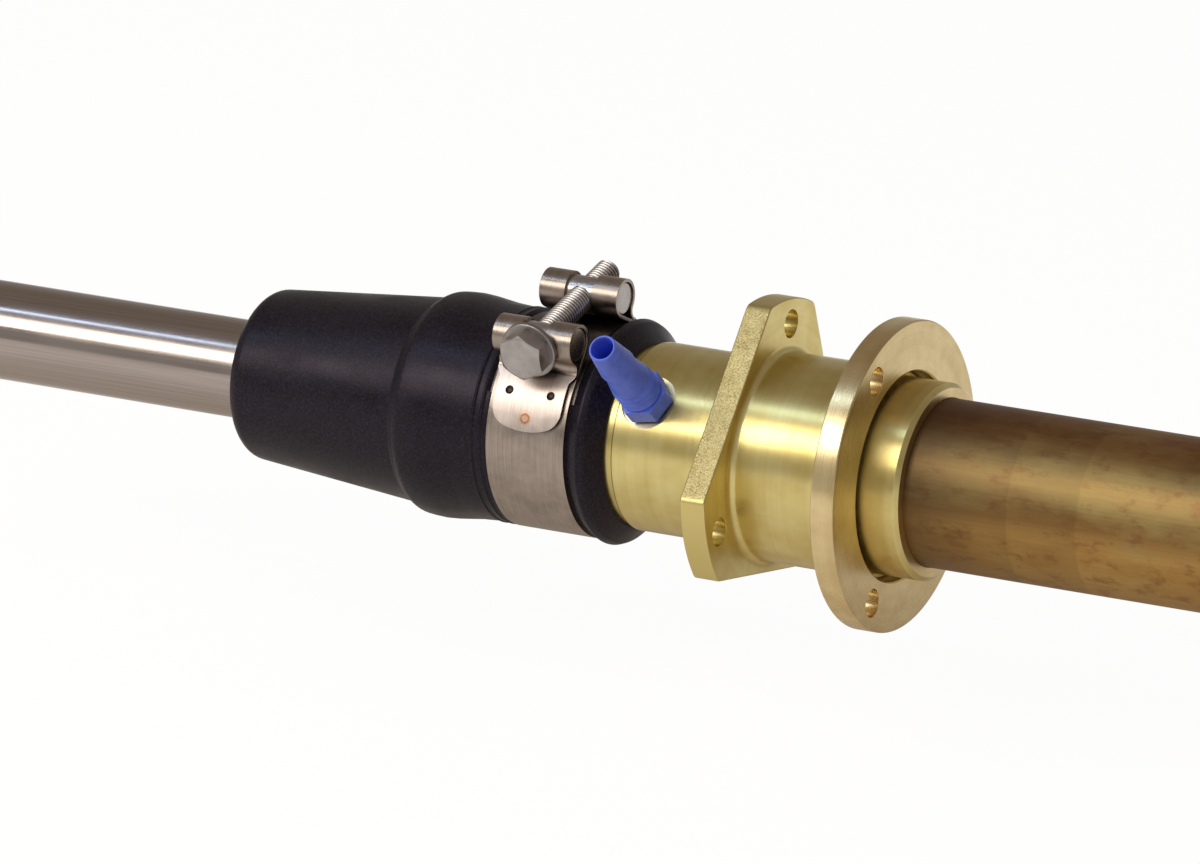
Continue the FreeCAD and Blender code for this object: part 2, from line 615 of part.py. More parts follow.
def band_end():
    """The band's near end: up from the boot, round the barrel, folded back and laid on itself."""
    loop_centre = FreeCAD.Vector(0, NEAR_BARREL, BOLT_HEIGHT)
    distance = loop_centre.Length
    bearing = math.degrees(math.atan2(loop_centre.z, loop_centre.y))
    lift = bearing + math.degrees(math.acos((BAND_MIDLINE + LOOP_MIDLINE) / distance))
    from_loop = LOOP_MIDLINE + FOLD_RADIUS
    from_axis = TAB_MIDLINE + FOLD_RADIUS
    fold_cosine = (distance**2 + from_axis**2 - from_loop**2) / (2 * distance * from_axis)
    fold_bearing = bearing + math.degrees(math.acos(fold_cosine))
    fold_centre = polar_point(0, from_axis, fold_bearing)
    leave = fold_centre - loop_centre
    leave_angle = math.degrees(math.atan2(leave.z, leave.y)) + 360
    arm = straight_strip(polar_point(0, BAND_MIDLINE, lift),
                         loop_centre - polar_point(0, LOOP_MIDLINE, lift), BAND_WIDTH)
    loop = bent_strip(loop_centre, LOOP_MIDLINE, lift - 180, leave_angle, BAND_WIDTH)
    fold = bent_strip(fold_centre, FOLD_RADIUS, fold_bearing + 180, leave_angle + 180, BAND_WIDTH)
    tab = bent_strip(ORIGIN, TAB_MIDLINE, fold_bearing, TAB_END_ANGLE, BAND_WIDTH)
    half_band = bent_strip(ORIGIN, BAND_MIDLINE, lift, 270, BAND_WIDTH)
    slot = Part.makeBox(
        LOOP_SLOT_WIDTH, 3 * LOOP_OUTER_RADIUS, LOOP_SLOT_DEPTH + 2 * LOOP_OUTER_RADIUS,
        FreeCAD.Vector(BAND_MIDDLE - LOOP_SLOT_WIDTH / 2, NEAR_BARREL - 1.5 * LOOP_OUTER_RADIUS,
                       BOLT_HEIGHT - LOOP_SLOT_DEPTH))
    weld = rod(WELD_DIAMETER, polar_point(BAND_MIDDLE, BAND_MIDLINE, WELD_ANGLE),
               polar_direction(WELD_ANGLE), BAND_THICKNESS)
    dimple_floor = TAB_MIDLINE + BAND_THICKNESS / 2 - DIMPLE_DEPTH
    dimples = [
        rod(DIMPLE_DIAMETER, polar_point(BAND_MIDDLE + side * DIMPLE_SPACING / 2, dimple_floor, DIMPLE_ANGLE),
            polar_direction(DIMPLE_ANGLE), 2 * DIMPLE_DEPTH)
        for side in (-1, 1)
    ]
    shaped_tab = tab.common(tab_outline_prism()).cut(dimples)
    return half_band.fuse([arm, loop, fold, shaped_tab, weld]).removeSplitter().cut(slot)


def clamp_band():
    """The band: one strip whose two ends are looped round the barrels and folded back."""
    near_end = band_end()
    far_end = near_end.mirror(ORIGIN, FreeCAD.Vector(0, 1, 0))
    return clamp_placed(near_end.fuse(far_end).removeSplitter())


def clamp_bridge():
    """The thin strip that bridges the clamp's gap between the boot and the band."""
    wire = sector_wire(ORIGIN, SEAT_RADIUS - BRIDGE_THICKNESS, SEAT_RADIUS,
                       90 - BRIDGE_HALF_ANGLE, 90 + BRIDGE_HALF_ANGLE)
    return clamp_placed(along_x(wire, BAND_MIDDLE - BRIDGE_WIDTH / 2, BAND_MIDDLE + BRIDGE_WIDTH / 2))


def clamp_barrel(offset):
    """A round barrel in one of the band's loops, drilled across for the bolt."""
    start = FreeCAD.Vector(BAND_MIDDLE - CLAMP_BARREL_LENGTH / 2, offset, BOLT_HEIGHT)
    barrel = rod(CLAMP_BARREL_DIAMETER, start, AXIS, CLAMP_BARREL_LENGTH)
    drill = rod(BOLT_DIAMETER, FreeCAD.Vector(BAND_MIDDLE, offset - CLAMP_BARREL_DIAMETER, BOLT_HEIGHT),
                FreeCAD.Vector(0, 1, 0), 2 * CLAMP_BARREL_DIAMETER)
    return clamp_placed(barrel.cut(drill))


def bolt_washer_face():
    """Where the washer lies against the near loops, along the bolt."""
    return NEAR_BARREL - LOOP_OUTER_RADIUS


def clamp_bolt_washer():
    """The round washer between the bolt's head and the near loops."""
    face = FreeCAD.Vector(BAND_MIDDLE, bolt_washer_face(), BOLT_HEIGHT)
    outward = FreeCAD.Vector(0, -1, 0)
    disc = rod(BOLT_WASHER_DIAMETER, face, outward, BOLT_WASHER_THICKNESS)
    return clamp_placed(disc.cut(rod(BOLT_DIAMETER, face, outward, BOLT_WASHER_THICKNESS)))


def clamp_bolt():
    """The hexagon bolt that draws the two barrels together."""
    seat = FreeCAD.Vector(BAND_MIDDLE, bolt_washer_face() - BOLT_WASHER_THICKNESS, BOLT_HEIGHT)
    outward = FreeCAD.Vector(0, -1, 0)
    corner_radius = BOLT_HEAD_FLATS / math.sqrt(3)
    chamfer = corner_radius - BOLT_HEAD_FLATS / 2
    head = hexagon_prism(BOLT_HEAD_FLATS, BOLT_HEAD_HEIGHT, seat, outward, FreeCAD.Vector(0, 0, 1))
    crown = Part.makeCone(corner_radius + BOLT_HEAD_HEIGHT, BOLT_HEAD_FLATS / 2 - chamfer / 4,
                          BOLT_HEAD_HEIGHT, seat, outward)
    length = FAR_BARREL + BOLT_PAST_FAR_BARREL - seat.y
    shank = rod(BOLT_DIAMETER, seat, -outward, length - BOLT_TIP_CHAMFER)
    tip = Part.makeCone(BOLT_DIAMETER / 2, BOLT_DIAMETER / 2 - BOLT_TIP_CHAMFER, BOLT_TIP_CHAMFER,
                        seat - outward * (length - BOLT_TIP_CHAMFER), -outward)
    return clamp_placed(head.common(crown).fuse([shank, tip]).removeSplitter())


def nodes():
    """Return every piece by its node's name."""
    inner_end = TUBE_SOCKET_START
    return {
        "propeller_shaft": propeller_shaft(),
        "seal_boot": seal_boot(),
        "clamp_band": clamp_band(),
        "clamp_bridge": clamp_bridge(),
        "clamp_barrel_plain": clamp_barrel(NEAR_BARREL),
        "clamp_barrel_threaded": clamp_barrel(FAR_BARREL),
        "clamp_bolt": clamp_bolt(),
        "clamp_bolt_washer": clamp_bolt_washer(),
        "stern_casting": stern_casting(),
        "ring_flange": ring_flange(),
        "hose_nipple": hose_nipple(),
        "nipple_seal_washer": nipple_seal_washer(),
        "stern_tube": stern_tube(),
        "inner_bearing_shell": bearing_shell(INNER_BEARING_START, inner_end, INNER_SCREW_DIAMETER,
                                             INNER_SCREW_PLACE, INNER_SCREW_ANGLES, BARREL_RADIUS),
        "inner_bearing_liner": bearing_liner(INNER_BEARING_START, inner_end),
        "inner_bearing_set_screw": set_screws(INNER_SCREW_DIAMETER, INNER_SCREW_PLACE,
                                              INNER_SCREW_ANGLES, BARREL_RADIUS),
        "outer_bearing_shell": bearing_shell(OUTER_BEARING_START, OUTER_BEARING_END, OUTER_SCREW_DIAMETER,
                                             OUTER_SCREW_PLACE, OUTER_SCREW_ANGLES, TUBE_RADIUS),
        "outer_bearing_liner": bearing_liner(OUTER_BEARING_START, OUTER_BEARING_END),
        "outer_bearing_set_screws": set_screws(OUTER_SCREW_DIAMETER, OUTER_SCREW_PLACE,
                                               OUTER_SCREW_ANGLES, TUBE_RADIUS),
    }


os.makedirs("parts", exist_ok=True)
for name, shape in nodes().items():
    shape.exportStep("parts/" + name + ".step")
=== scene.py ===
import logging
import math
from abc import ABC, abstractmethod
from dataclasses import dataclass, field
from enum import Enum, IntEnum
from functools import partial
from typing import Callable, Iterable, Mapping, Sequence

import bpy
import bmesh
from mathutils import Matrix, Vector


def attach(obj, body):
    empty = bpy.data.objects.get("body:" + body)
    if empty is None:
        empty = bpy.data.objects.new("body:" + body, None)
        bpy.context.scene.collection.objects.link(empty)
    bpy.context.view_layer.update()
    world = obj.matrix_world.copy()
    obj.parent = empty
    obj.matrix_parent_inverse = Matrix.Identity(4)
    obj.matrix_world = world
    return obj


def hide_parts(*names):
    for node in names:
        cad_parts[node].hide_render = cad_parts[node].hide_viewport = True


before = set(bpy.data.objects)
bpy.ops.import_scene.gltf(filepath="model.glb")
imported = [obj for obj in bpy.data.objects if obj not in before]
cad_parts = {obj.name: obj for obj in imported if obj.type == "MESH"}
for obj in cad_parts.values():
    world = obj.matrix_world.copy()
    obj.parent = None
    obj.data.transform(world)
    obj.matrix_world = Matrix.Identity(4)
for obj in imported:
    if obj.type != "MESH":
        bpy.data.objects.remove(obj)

LOG = logging.getLogger("stern_gland")
MM = 0.001
AXIS = Vector((1, 0, 0))

# Places that more than one assembly shares, in mm and degrees.
CLAMP_TURN = 13.0
CLAMP_MIDDLE = -67.5
BOLT_HEIGHT = 36.5
NIPPLE_PLACE = -32.0
NIPPLE_ANGLE = 140.0
SPOT_FACE_HEIGHT = 26.9
CLAMP_AXES = Matrix.Rotation(math.radians(CLAMP_TURN), 4, "X")

# Points closer than this are one, in mm: in a turned form, and in the bent strip and the thread.
JOIN = 1e-5
WELD = 1e-4
# Half of a corner's angle, in degrees, past which it is straight and gets no fillet.
STRAIGHT = 89.5

Node = bpy.types.Node
Socket = bpy.types.NodeSocket
Material = bpy.types.Material
Piece = bpy.types.Object
Value = Node | Socket | float | str | Sequence[float]
Reshape = Callable[[float, float, float], float]


class Body(Enum):
    """The frame's moving bodies that a piece can ride on."""

    HOUSING = "housing"
    SHAFT = "shaft"
    RING = "ring"


def linear(code: str) -> tuple[float, float, float, float]:
    """Turn an sRGB hex colour into Blender's linear colour.

    Args:
        code: Colour such as "#c8b27a".

    Returns:
        Linear red, green, blue and an alpha of 1.
    """
    channels = [int(code[start:start + 2], 16) / 255 for start in (1, 3, 5)]
    straight = [c / 12.92 if c <= 0.04045 else ((c + 0.055) / 1.055) ** 2.4 for c in channels]
    return (*straight, 1.0)


def connect(node: Node, inputs: Mapping[str | int, Value]) -> None:
    """Set a node's inputs, or link them.

    Args:
        node: The node.
        inputs: By name or index, a number, a vector, a hex colour, an output socket, or a node, of which the first
            output in use is taken.
    """
    for key, value in inputs.items():
        if isinstance(value, Node):
            value = next(output for output in value.outputs if output.enabled)
        if isinstance(value, Socket):
            node.id_data.links.new(value, node.inputs[key])
        else:
            node.inputs[key].default_value = linear(value) if isinstance(value, str) else value


def add_node(tree: bpy.types.NodeTree, kind: str, *values: Value, named: Mapping[str, Value] | None = None,
             stops: Sequence[tuple[float, str]] = (), **settings: object) -> Node:
    """Add a node with its settings and links.

    Args:
        tree: Tree that the node goes into.
        kind: The node's type name.
        *values: What the inputs that the settings leave in use get, in order, as connect takes it.
        named: The same for inputs by name.
        stops: A colour ramp's positions with hex colours, in rising order.
        **settings: Attributes of the node.

    Returns:
        The new node.
    """
    node = tree.nodes.new(kind)
    for name, setting in settings.items():
        setattr(node, name, setting)
    for number, (position, code) in enumerate(stops):
        elements = node.color_ramp.elements
        stop = elements[number] if number < len(elements) else elements.new(position)
        stop.position, stop.color = position, linear(code)
    in_use = [index for index, socket in enumerate(node.inputs) if socket.enabled]
    connect(node, dict(zip(in_use, values)) | dict(named or {}))
    return node


class Surface:
    """The parts that every finish's material shares.

    Attributes:
        material: The material.
        add: Adds a node to its tree.
        shader: Its shader.
        output: Its output node.
        place: The place on the piece, in metres.
        along: The place along the shaft's axis.
        aside: The place to the side, away from the water nipple.
        height: The place above the shaft's axis.
    """

    def __init__(self, name: str) -> None:
        """Start a material.

        Args:
            name: The material's name.
        """
        self.material = bpy.data.materials.new(name)
        self.material.use_nodes = True
        self.material.node_tree.nodes.clear()
        self.add = partial(add_node, self.material.node_tree)
        self.shader = self.add("ShaderNodeBsdfPrincipled")
        self.output = self.add("ShaderNodeOutputMaterial", named={"Surface": self.shader})
        self.place = self.add("ShaderNodeTexCoord").outputs["Object"]
        self.along, self.aside, self.height = self.add("ShaderNodeSeparateXYZ", self.place).outputs

    def radius(self) -> Node:
        """Return the distance from the shaft's axis, in metres."""
        across = self.add("ShaderNodeVectorMath", self.place, (0.0, 1.0, 1.0), operation="MULTIPLY")
        return self.add("ShaderNodeVectorMath", across, operation="LENGTH")

    def circling(self) -> Node:
        """Return the direction round the shaft's axis, which a lathe tool's marks follow."""
        around = self.add("ShaderNodeVectorMath", self.place, AXIS, operation="CROSS_PRODUCT")
        return self.add("ShaderNodeVectorTransform", around, vector_type="VECTOR", convert_from="OBJECT",
                        convert_to="WORLD")

    def grain(self, size: Sequence[float], detail: float = 3.0, roughness: float = 0.55,
              place: Value | None = None) -> Node:
        """Lay noise over the piece, sized in real millimetres.

        Args:
            size: Size of its marks along the X, Y and Z axes, in mm.
            detail: Octaves of finer noise.
            roughness: Strength of the finer octaves.
            place: Position in metres, or None for the place on the piece.

        Returns:
            The noise, about 0.3 to 0.7.
        """
        scale = [1 / (MM * side) for side in size]
        sized = self.add("ShaderNodeMapping", named={"Vector": place or self.place, "Scale": scale})
        return self.add("ShaderNodeTexNoise", sized, 1.0, detail, roughness)

    def bump(self, *layers: tuple[Value, Value, float]) -> None:
        """Chain bump layers into the shader.

        Args:
            *layers: Heights, each with its strength and its depth in mm.
        """
        below = {}
        for height, strength, depth in layers:
            named = {"Height": height, "Strength": strength, "Distance": depth * MM}
            below = {"Normal": self.add("ShaderNodeBump", named=named | below)}
        connect(self.shader, below)

    def set(self, colour: Value, roughness: Value, **others: Value) -> None:
        """Set or link the shader's inputs.

        Args:
            colour: Its base colour.
            roughness: Its roughness.
            **others: Its other inputs, with underscores for the spaces in their names.
        """
        named = {"Base Color": colour, "Roughness": roughness}
        connect(self.shader, named | {name.replace("_", " "): value for name, value in others.items()})


@dataclass(frozen=True)
class Finish(ABC):
    """A real material and how its surface was made, under the name of the material that it becomes."""

    name: str

    def material(self) -> Material:
        """Return a new material that this finish has dressed."""
        surface = Surface(self.name)
        self.dress(surface)
        return surface.material

    @abstractmethod
    def dress(self, surface: Surface) -> None:
        """Set the shader's inputs and build what drives them."""


@dataclass(frozen=True)
class DrawnStainless(Finish):
    """Polished stainless bar: long drawn streaks over a brown-grey body, with sharp highlights."""

    name: str = "stainless_polished_bar"
    dark: str = "#a0948c"
    light: str = "#b0a59e"

    def dress(self, surface: Surface) -> None:
        """Lay streaks along the bar in tone, roughness and relief.

        Args:
            surface: The material's parts.
        """
        streaks = surface.grain((60.0, 0.6, 0.6), 4.0)
        clouds = surface.grain((35.0, 14.0, 14.0), 2.0)
        surface.set(surface.add("ShaderNodeValToRGB", streaks, stops=((0.3, self.dark), (0.7, self.light))),
                    surface.add("ShaderNodeMapRange", clouds, 0.35, 0.65, 0.13, 0.22), Metallic=1.0)
        surface.bump((streaks, 0.12, 0.02))


@dataclass(frozen=True)
class MouldedRubber(Finish):
    """Black moulded rubber: matte, finely speckled by the mould's blasted surface, a faint warm bloom."""

    name: str = "rubber_moulded_black"
    dark: str = "#090809"
    bloom: str = "#161215"
    roughness: float = 0.35
    sheen: float = 0.24
    speck: str = "#3d3547"
    glint: str = "#f6e6f8"

    def dress(self, surface: Surface) -> None:
        """Lay speckle about 0.7 mm wide, patches of bloom and soft handling marks.

        Args:
            surface: The material's parts.
        """
        speckle = surface.grain((0.7, 0.7, 0.7), 2.0, 0.7)
        patches = surface.grain((18.0, 12.0, 12.0))
        bloomed = surface.add("ShaderNodeMapRange", patches, 0.35, 0.7, 0.1, 0.8)
        skin = surface.add("ShaderNodeMix", bloomed, self.dark, self.bloom, data_type="RGBA")
        specks = surface.add("ShaderNodeMapRange", speckle, 0.42, 0.68, 0.0, 0.4)
        handled = surface.add("ShaderNodeMapRange", patches, 0.3, 0.7, self.roughness - 0.08, self.roughness + 0.1)
        surface.set(surface.add("ShaderNodeMix", specks, skin, self.speck, data_type="RGBA"), handled,
                    Specular_IOR_Level=self.sheen, Specular_Tint=self.glint)
        surface.bump((patches, 0.15, 0.3), (speckle, 0.45, 0.06))


@dataclass(frozen=True)
class RolledStrip(Finish):
    """Rolled stainless strip: warm grey, finely brushed along its length, with a heat-tinted spot weld."""

    name: str = "stainless_rolled_strip"
    dark: str = "#93867b"
    light: str = "#ad9f93"
    roughness: float = 0.3
    straw: str = "#d0a07c"
    brown: str = "#a8683f"
    weld_angle: float = 149.0 + CLAMP_TURN
    weld_radius: float = 33.75
    weld_ring: float = 1.7

    def dress(self, surface: Surface) -> None:
        """Lay brushing, rolled clouds, and the weld's ring of straw and brown.

        Args:
            surface: The material's parts.
        """
        add, ring = surface.add, self.weld_ring
        # Brushing lines are about 0.1 mm apart, drawn at 0.4 mm so that they show.
        brushing = surface.grain((0.4, 14.0, 14.0))
        clouds = surface.grain((7.0, 5.0, 5.0), 4.0)
        ripple = surface.grain((0.7, 0.7, 0.7))
        weld = polar(CLAMP_MIDDLE * MM, self.weld_radius * MM, self.weld_angle)
        distance = add("ShaderNodeVectorMath", surface.place, weld, operation="DISTANCE")
        distance = add("ShaderNodeMath", ripple, 0.8 * MM, distance, operation="MULTIPLY_ADD")
        tone = add("ShaderNodeMix", 0.5, brushing, clouds)
        steel = add("ShaderNodeValToRGB", tone, stops=((0.38, self.dark), (0.62, self.light)))
        heated = add("ShaderNodeMapRange", distance, ring * MM, (ring + 1.2) * MM, 0.7, 0.0)
        tinted = add("ShaderNodeMix", heated, steel, self.straw, data_type="RGBA")
        from_ring = add("ShaderNodeMath", distance, ring * MM, operation="SUBTRACT")
        from_ring = add("ShaderNodeMath", from_ring, operation="ABSOLUTE")
        burnt = add("ShaderNodeMapRange", from_ring, 0.15 * MM, 0.45 * MM, 0.75, 0.0)
        surface.set(add("ShaderNodeMix", burnt, tinted, self.brown, data_type="RGBA"),
                    add("ShaderNodeMapRange", clouds, 0.3, 0.7, self.roughness - 0.05, self.roughness + 0.06),
                    Metallic=1.0)
        surface.bump((clouds, 0.06, 0.15), (brushing, 0.06, 0.02), (burnt, 0.5, 0.08))


@dataclass(frozen=True)
class MachinedSteel(Finish):
    """Stainless small parts: cold-formed or turned, satin bright, with fine rubbed marks."""

    dark: str
    light: str
    roughness: float

    def dress(self, surface: Surface) -> None:
        """Lay a cloudy satin tone and fine scratches.

        Args:
            surface: The material's parts.
        """
        marks = surface.grain((2.5, 0.4, 0.4), 4.0)
        clouds = surface.grain((4.0, 4.0, 4.0))
        surface.set(surface.add("ShaderNodeValToRGB", clouds, stops=((0.3, self.dark), (0.7, self.light))),
                    surface.add("ShaderNodeMapRange", marks, 0.3, 0.7, self.roughness - 0.05, self.roughness + 0.08),
                    Metallic=1.0)
        surface.bump((marks, 0.08, 0.02))


@dataclass(frozen=True)
class ThreadedSteel(Finish):
    """Stainless screw thread: bright crests over grooves painted dark, a painted shade in the grooves."""

    name: str = "stainless_bolt_thread"
    groove: str = "#3b3431"
    crest: str = "#c2bbb6"
    crest_radius: float = 4.0
    groove_depth: float = 0.55

    def dress(self, surface: Surface) -> None:
        """Paint shade into the grooves by the distance from the bolt's own axis, and lay fine rubbed marks.

        Args:
            surface: The material's parts.
        """
        add = surface.add
        middle = CLAMP_AXES @ Vector((CLAMP_MIDDLE, 0.0, BOLT_HEIGHT)) * MM
        arm = add("ShaderNodeVectorMath", surface.place, middle, operation="SUBTRACT")
        arm = add("ShaderNodeVectorMath", arm, CLAMP_AXES @ Vector((0.0, 1.0, 0.0)), operation="CROSS_PRODUCT")
        distance = add("ShaderNodeVectorMath", arm, operation="LENGTH")
        # Painted shade: dark at the groove's root, plain bright steel at the crest.
        rubbed = add("ShaderNodeMapRange", distance, (self.crest_radius - self.groove_depth) * MM,
                     (self.crest_radius - 0.1) * MM, 0.0, 1.0)
        marks = surface.grain((0.5, 0.5, 0.5), 4.0)
        surface.set(add("ShaderNodeMix", rubbed, self.groove, self.crest, data_type="RGBA"),
                    add("ShaderNodeMapRange", marks, 0.3, 0.7, 0.26, 0.38), Metallic=1.0)
        surface.bump((marks, 0.08, 0.02))


@dataclass(frozen=True)
class TurnedBrass(Finish):
    """Yellow brass off the lathe: satin, with fine rings that draw its highlights out across them."""

    dark: str = "#d2bd76"
    light: str = "#e2d290"
    roughness: float = 0.31
    stretch: float = 0.55

    def dress(self, surface: Surface) -> None:
        """Lay rings round the axis in relief and sheen, and a cloudy tone.

        Args:
            surface: The material's parts.
        """
        turned = surface.add("ShaderNodeCombineXYZ", surface.along, surface.radius())
        # Tool marks of a fine cut are about 0.1 mm apart, drawn at 0.35 mm so that they show.
        rings = surface.grain((0.35, 0.35, 1.0), 3.0, 0.7, turned)
        bands = surface.grain((4.0, 4.0, 1.0), place=turned)
        tone = surface.add("ShaderNodeMix", 0.4, surface.grain((14.0, 9.0, 9.0), 4.0), bands)
        surface.set(surface.add("ShaderNodeValToRGB", tone, stops=((0.38, self.dark), (0.62, self.light))),
                    surface.add("ShaderNodeMapRange", rings, 0.3, 0.7, self.roughness - 0.04, self.roughness + 0.05),
                    Metallic=1.0, Anisotropic=self.stretch, Anisotropic_Rotation=0.25, Tangent=surface.circling())
        surface.bump((bands, 0.05, 0.08), (rings, 0.07, 0.02))


@dataclass(frozen=True)
class CastBrass(Finish):
    """Flange's rim: flats as they left the sand mould, grainy and dull, and lobes turned smooth on the lathe."""

    name: str = "brass_sand_cast"
    turned_from: float = 46.4
    turned_colour: str = "#d6c37f"
    cast_colours: tuple[tuple[float, str], ...] = ((0.36, "#8e7d4b"), (0.5, "#b7a672"), (0.64, "#d8ca92"))

    def dress(self, surface: Surface) -> None:
        """Lay sand grain of about 0.5 mm with larger soft hollows, which ends at the lobes.

        Args:
            surface: The material's parts.
        """
        add = surface.add
        sand = surface.grain((0.5, 0.5, 0.5), 3.0, 0.7)
        hollows = surface.grain((4.0, 4.0, 4.0))
        rough = add("ShaderNodeMapRange", surface.radius(), self.turned_from * MM, (self.turned_from + 0.4) * MM,
                    1.0, 0.0)
        cast = add("ShaderNodeValToRGB", add("ShaderNodeMix", 0.2, sand, hollows), stops=self.cast_colours)
        grit = add("ShaderNodeMapRange", sand, 0.3, 0.7, 0.04, 0.18)
        surface.set(add("ShaderNodeMix", rough, self.turned_colour, cast, data_type="RGBA"),
                    add("ShaderNodeMath", rough, grit, 0.34, operation="MULTIPLY_ADD"), Metallic=1.0)
        surface.bump((hollows, 0.12, 0.3),
                     (sand, add("ShaderNodeMath", rough, 0.5, 0.05, operation="MULTIPLY_ADD"), 0.15))


@dataclass(frozen=True)
class TarnishedTube(Finish):
    """Drawn brass tube gone brown: brown patches, reddish stains, darkest beside the casting, over painted light by
    height.

    Attributes:
        socket_mouth: Where the casting's socket ends, in mm.
        wet_edge: Where the darker zone beside it ends, in mm.
        tide_marks: Places of faint dark rings, in mm, with their strengths.
        height_tarnish_and_painted_light: Colours from the tube's underside to its top, partly tarnish hue and mostly
        painted light: golden for the mirrored floor, dark at the mirrored horizon, olive at the highlight, brown on
            top.
    """

    name: str = "brass_drawn_tarnished"
    socket_mouth: float = 53.5
    wet_edge: float = 87.0
    radius: float = 25.0
    stain: str = "#7a4c31"
    wet: str = "#49352a"
    tide_marks: tuple[tuple[float, float], ...] = ((87.0, 0.3), (109.0, 0.16))
    browns: tuple[tuple[float, str], ...] = (
        (0.36, "#7b5834"), (0.46, "#937142"), (0.55, "#a0834f"), (0.64, "#aa9562"))
    height_tarnish_and_painted_light: tuple[tuple[float, str], ...] = (
        (0.0, "#c09350"), (0.42, "#cfa35c"), (0.53, "#8c673c"), (0.66, "#8d8055"), (0.84, "#84774c"),
        (0.95, "#865836"))

    def dress(self, surface: Surface) -> None:
        """Lay patches, stains, drawing lines and two faint tide marks round the tube, over painted light by height.

        Args:
            surface: The material's parts.
        """
        add = surface.add
        patches = surface.grain((26.0, 11.0, 11.0), 7.0, 0.66)
        stains = surface.grain((8.0, 4.5, 4.5), 4.0, 0.65)
        streaks = surface.grain((45.0, 0.8, 0.8), 4.0)
        brown = add("ShaderNodeValToRGB", add("ShaderNodeMix", 0.2, patches, streaks), stops=self.browns)
        wavy = add("ShaderNodeMath", stains, 1.2 * MM, surface.along, operation="MULTIPLY_ADD")
        mouth, edge = self.socket_mouth * MM, self.wet_edge * MM
        darkening = add("ShaderNodeMath", add("ShaderNodeMapRange", wavy, mouth, edge, 0.66, 0.2),
                        add("ShaderNodeMapRange", wavy, edge, edge + MM, 1.0, 0.0), operation="MULTIPLY")
        for place, strength in self.tide_marks:
            mark = add("ShaderNodeMapRange", wavy, place * MM, (place + 0.8) * MM, strength, 0.0)
            darkening = add("ShaderNodeMath", darkening, mark, operation="MAXIMUM")
        # Painted light by height, with some tarnish hue: the bands run from the underside to the top, wavered by the
        # patches.
        zone = add("ShaderNodeMapRange", surface.height, -self.radius * MM, self.radius * MM, -0.1, 0.9)
        zone = add("ShaderNodeMath", patches, 0.2, zone, operation="MULTIPLY_ADD")
        light_and_tarnish_mix = add("ShaderNodeMix", 0.45, brown, add("ShaderNodeValToRGB", zone, stops=self.height_tarnish_and_painted_light),
                    data_type="RGBA")
        stained = add("ShaderNodeMix", add("ShaderNodeMapRange", stains, 0.53, 0.68, 0.0, 0.5), light_and_tarnish_mix, self.stain,
                      data_type="RGBA")
        surface.set(add("ShaderNodeMix", darkening, stained, self.wet, data_type="RGBA"),
                    add("ShaderNodeMapRange", patches, 0.3, 0.7, 0.42, 0.53), Metallic=1.0)
        surface.bump((patches, 0.06, 0.3), (streaks, 0.05, 0.02))


@dataclass(frozen=True)
class MouldedPlastic(Finish):
    """Blue moulded nylon: semi-matte, slightly cloudy, with faint flow marks."""

    name: str = "nylon_moulded_blue"
    dark: str = "#5570e8"
    light: str = "#6885fa"

    def dress(self, surface: Surface) -> None:
        """Lay cloudy pigment and a fine mould skin.

        Args:
            surface: The material's parts.
        """
        clouds = surface.grain((3.5, 3.5, 3.5))
        surface.set(surface.add("ShaderNodeValToRGB", clouds, stops=((0.3, self.dark), (0.7, self.light))),
                    surface.add("ShaderNodeMapRange", clouds, 0.3, 0.7, 0.34, 0.46))
        surface.bump((surface.grain((0.3, 0.3, 0.3), 2.0), 0.1, 0.03))


@dataclass(frozen=True)
class Corner:
    """A corner of a turned outline.

    Attributes:
        x: Place along the turning axis, in mm.
        radius: Distance from that axis, in mm.
        rounding: Radius of the fillet drawn there, in mm.
    """

    x: float
    radius: float
    rounding: float = 0.0


def rounded(corners: Sequence[Corner], step: float = 12.0) -> list[tuple[float, float]]:
    """Draw a closed outline's corners with their fillets.

    Args:
        corners: The outline, in order.
        step: Largest turn between two points of a fillet, in degrees.

    Returns:
        Points (x, radius) in mm.
    """
    points: list[tuple[float, float]] = []
    for index, corner in enumerate(corners):
        here = Vector((corner.x, corner.radius))
        before, after = corners[index - 1], corners[(index + 1) % len(corners)]
        back = (Vector((before.x, before.radius)) - here).normalized()
        ahead = (Vector((after.x, after.radius)) - here).normalized()
        half = back.angle(ahead) / 2
        if corner.rounding == 0 or half > math.radians(STRAIGHT):
            points.append((here.x, here.y))
            continue
        centre = here + (back + ahead).normalized() * (corner.rounding / math.sin(half))
        spoke = here + back * (corner.rounding / math.tan(half)) - centre
        turn = math.pi - 2 * half
        sign = 1 if back.cross(ahead) > 0 else -1
        count = max(2, math.ceil(math.degrees(turn) / step))
        for number in range(count + 1):
            arm = spoke.copy()
            arm.rotate(Matrix.Rotation(-sign * turn * number / count, 2))
            points.append(tuple(centre + arm))
    return points


def even_angles(count: int, extra: Iterable[float] = ()) -> list[float]:
    """Space a lathe's columns evenly, with extra ones put in between.

    Args:
        count: How many evenly spaced ones there are.
        extra: Further angles, in degrees.

    Returns:
        All angles in rising order, in degrees.
    """
    angles = {round(360 * number / count, 4) for number in range(count)}
    angles |= {round(angle % 360, 4) for angle in extra}
    return sorted(angles)


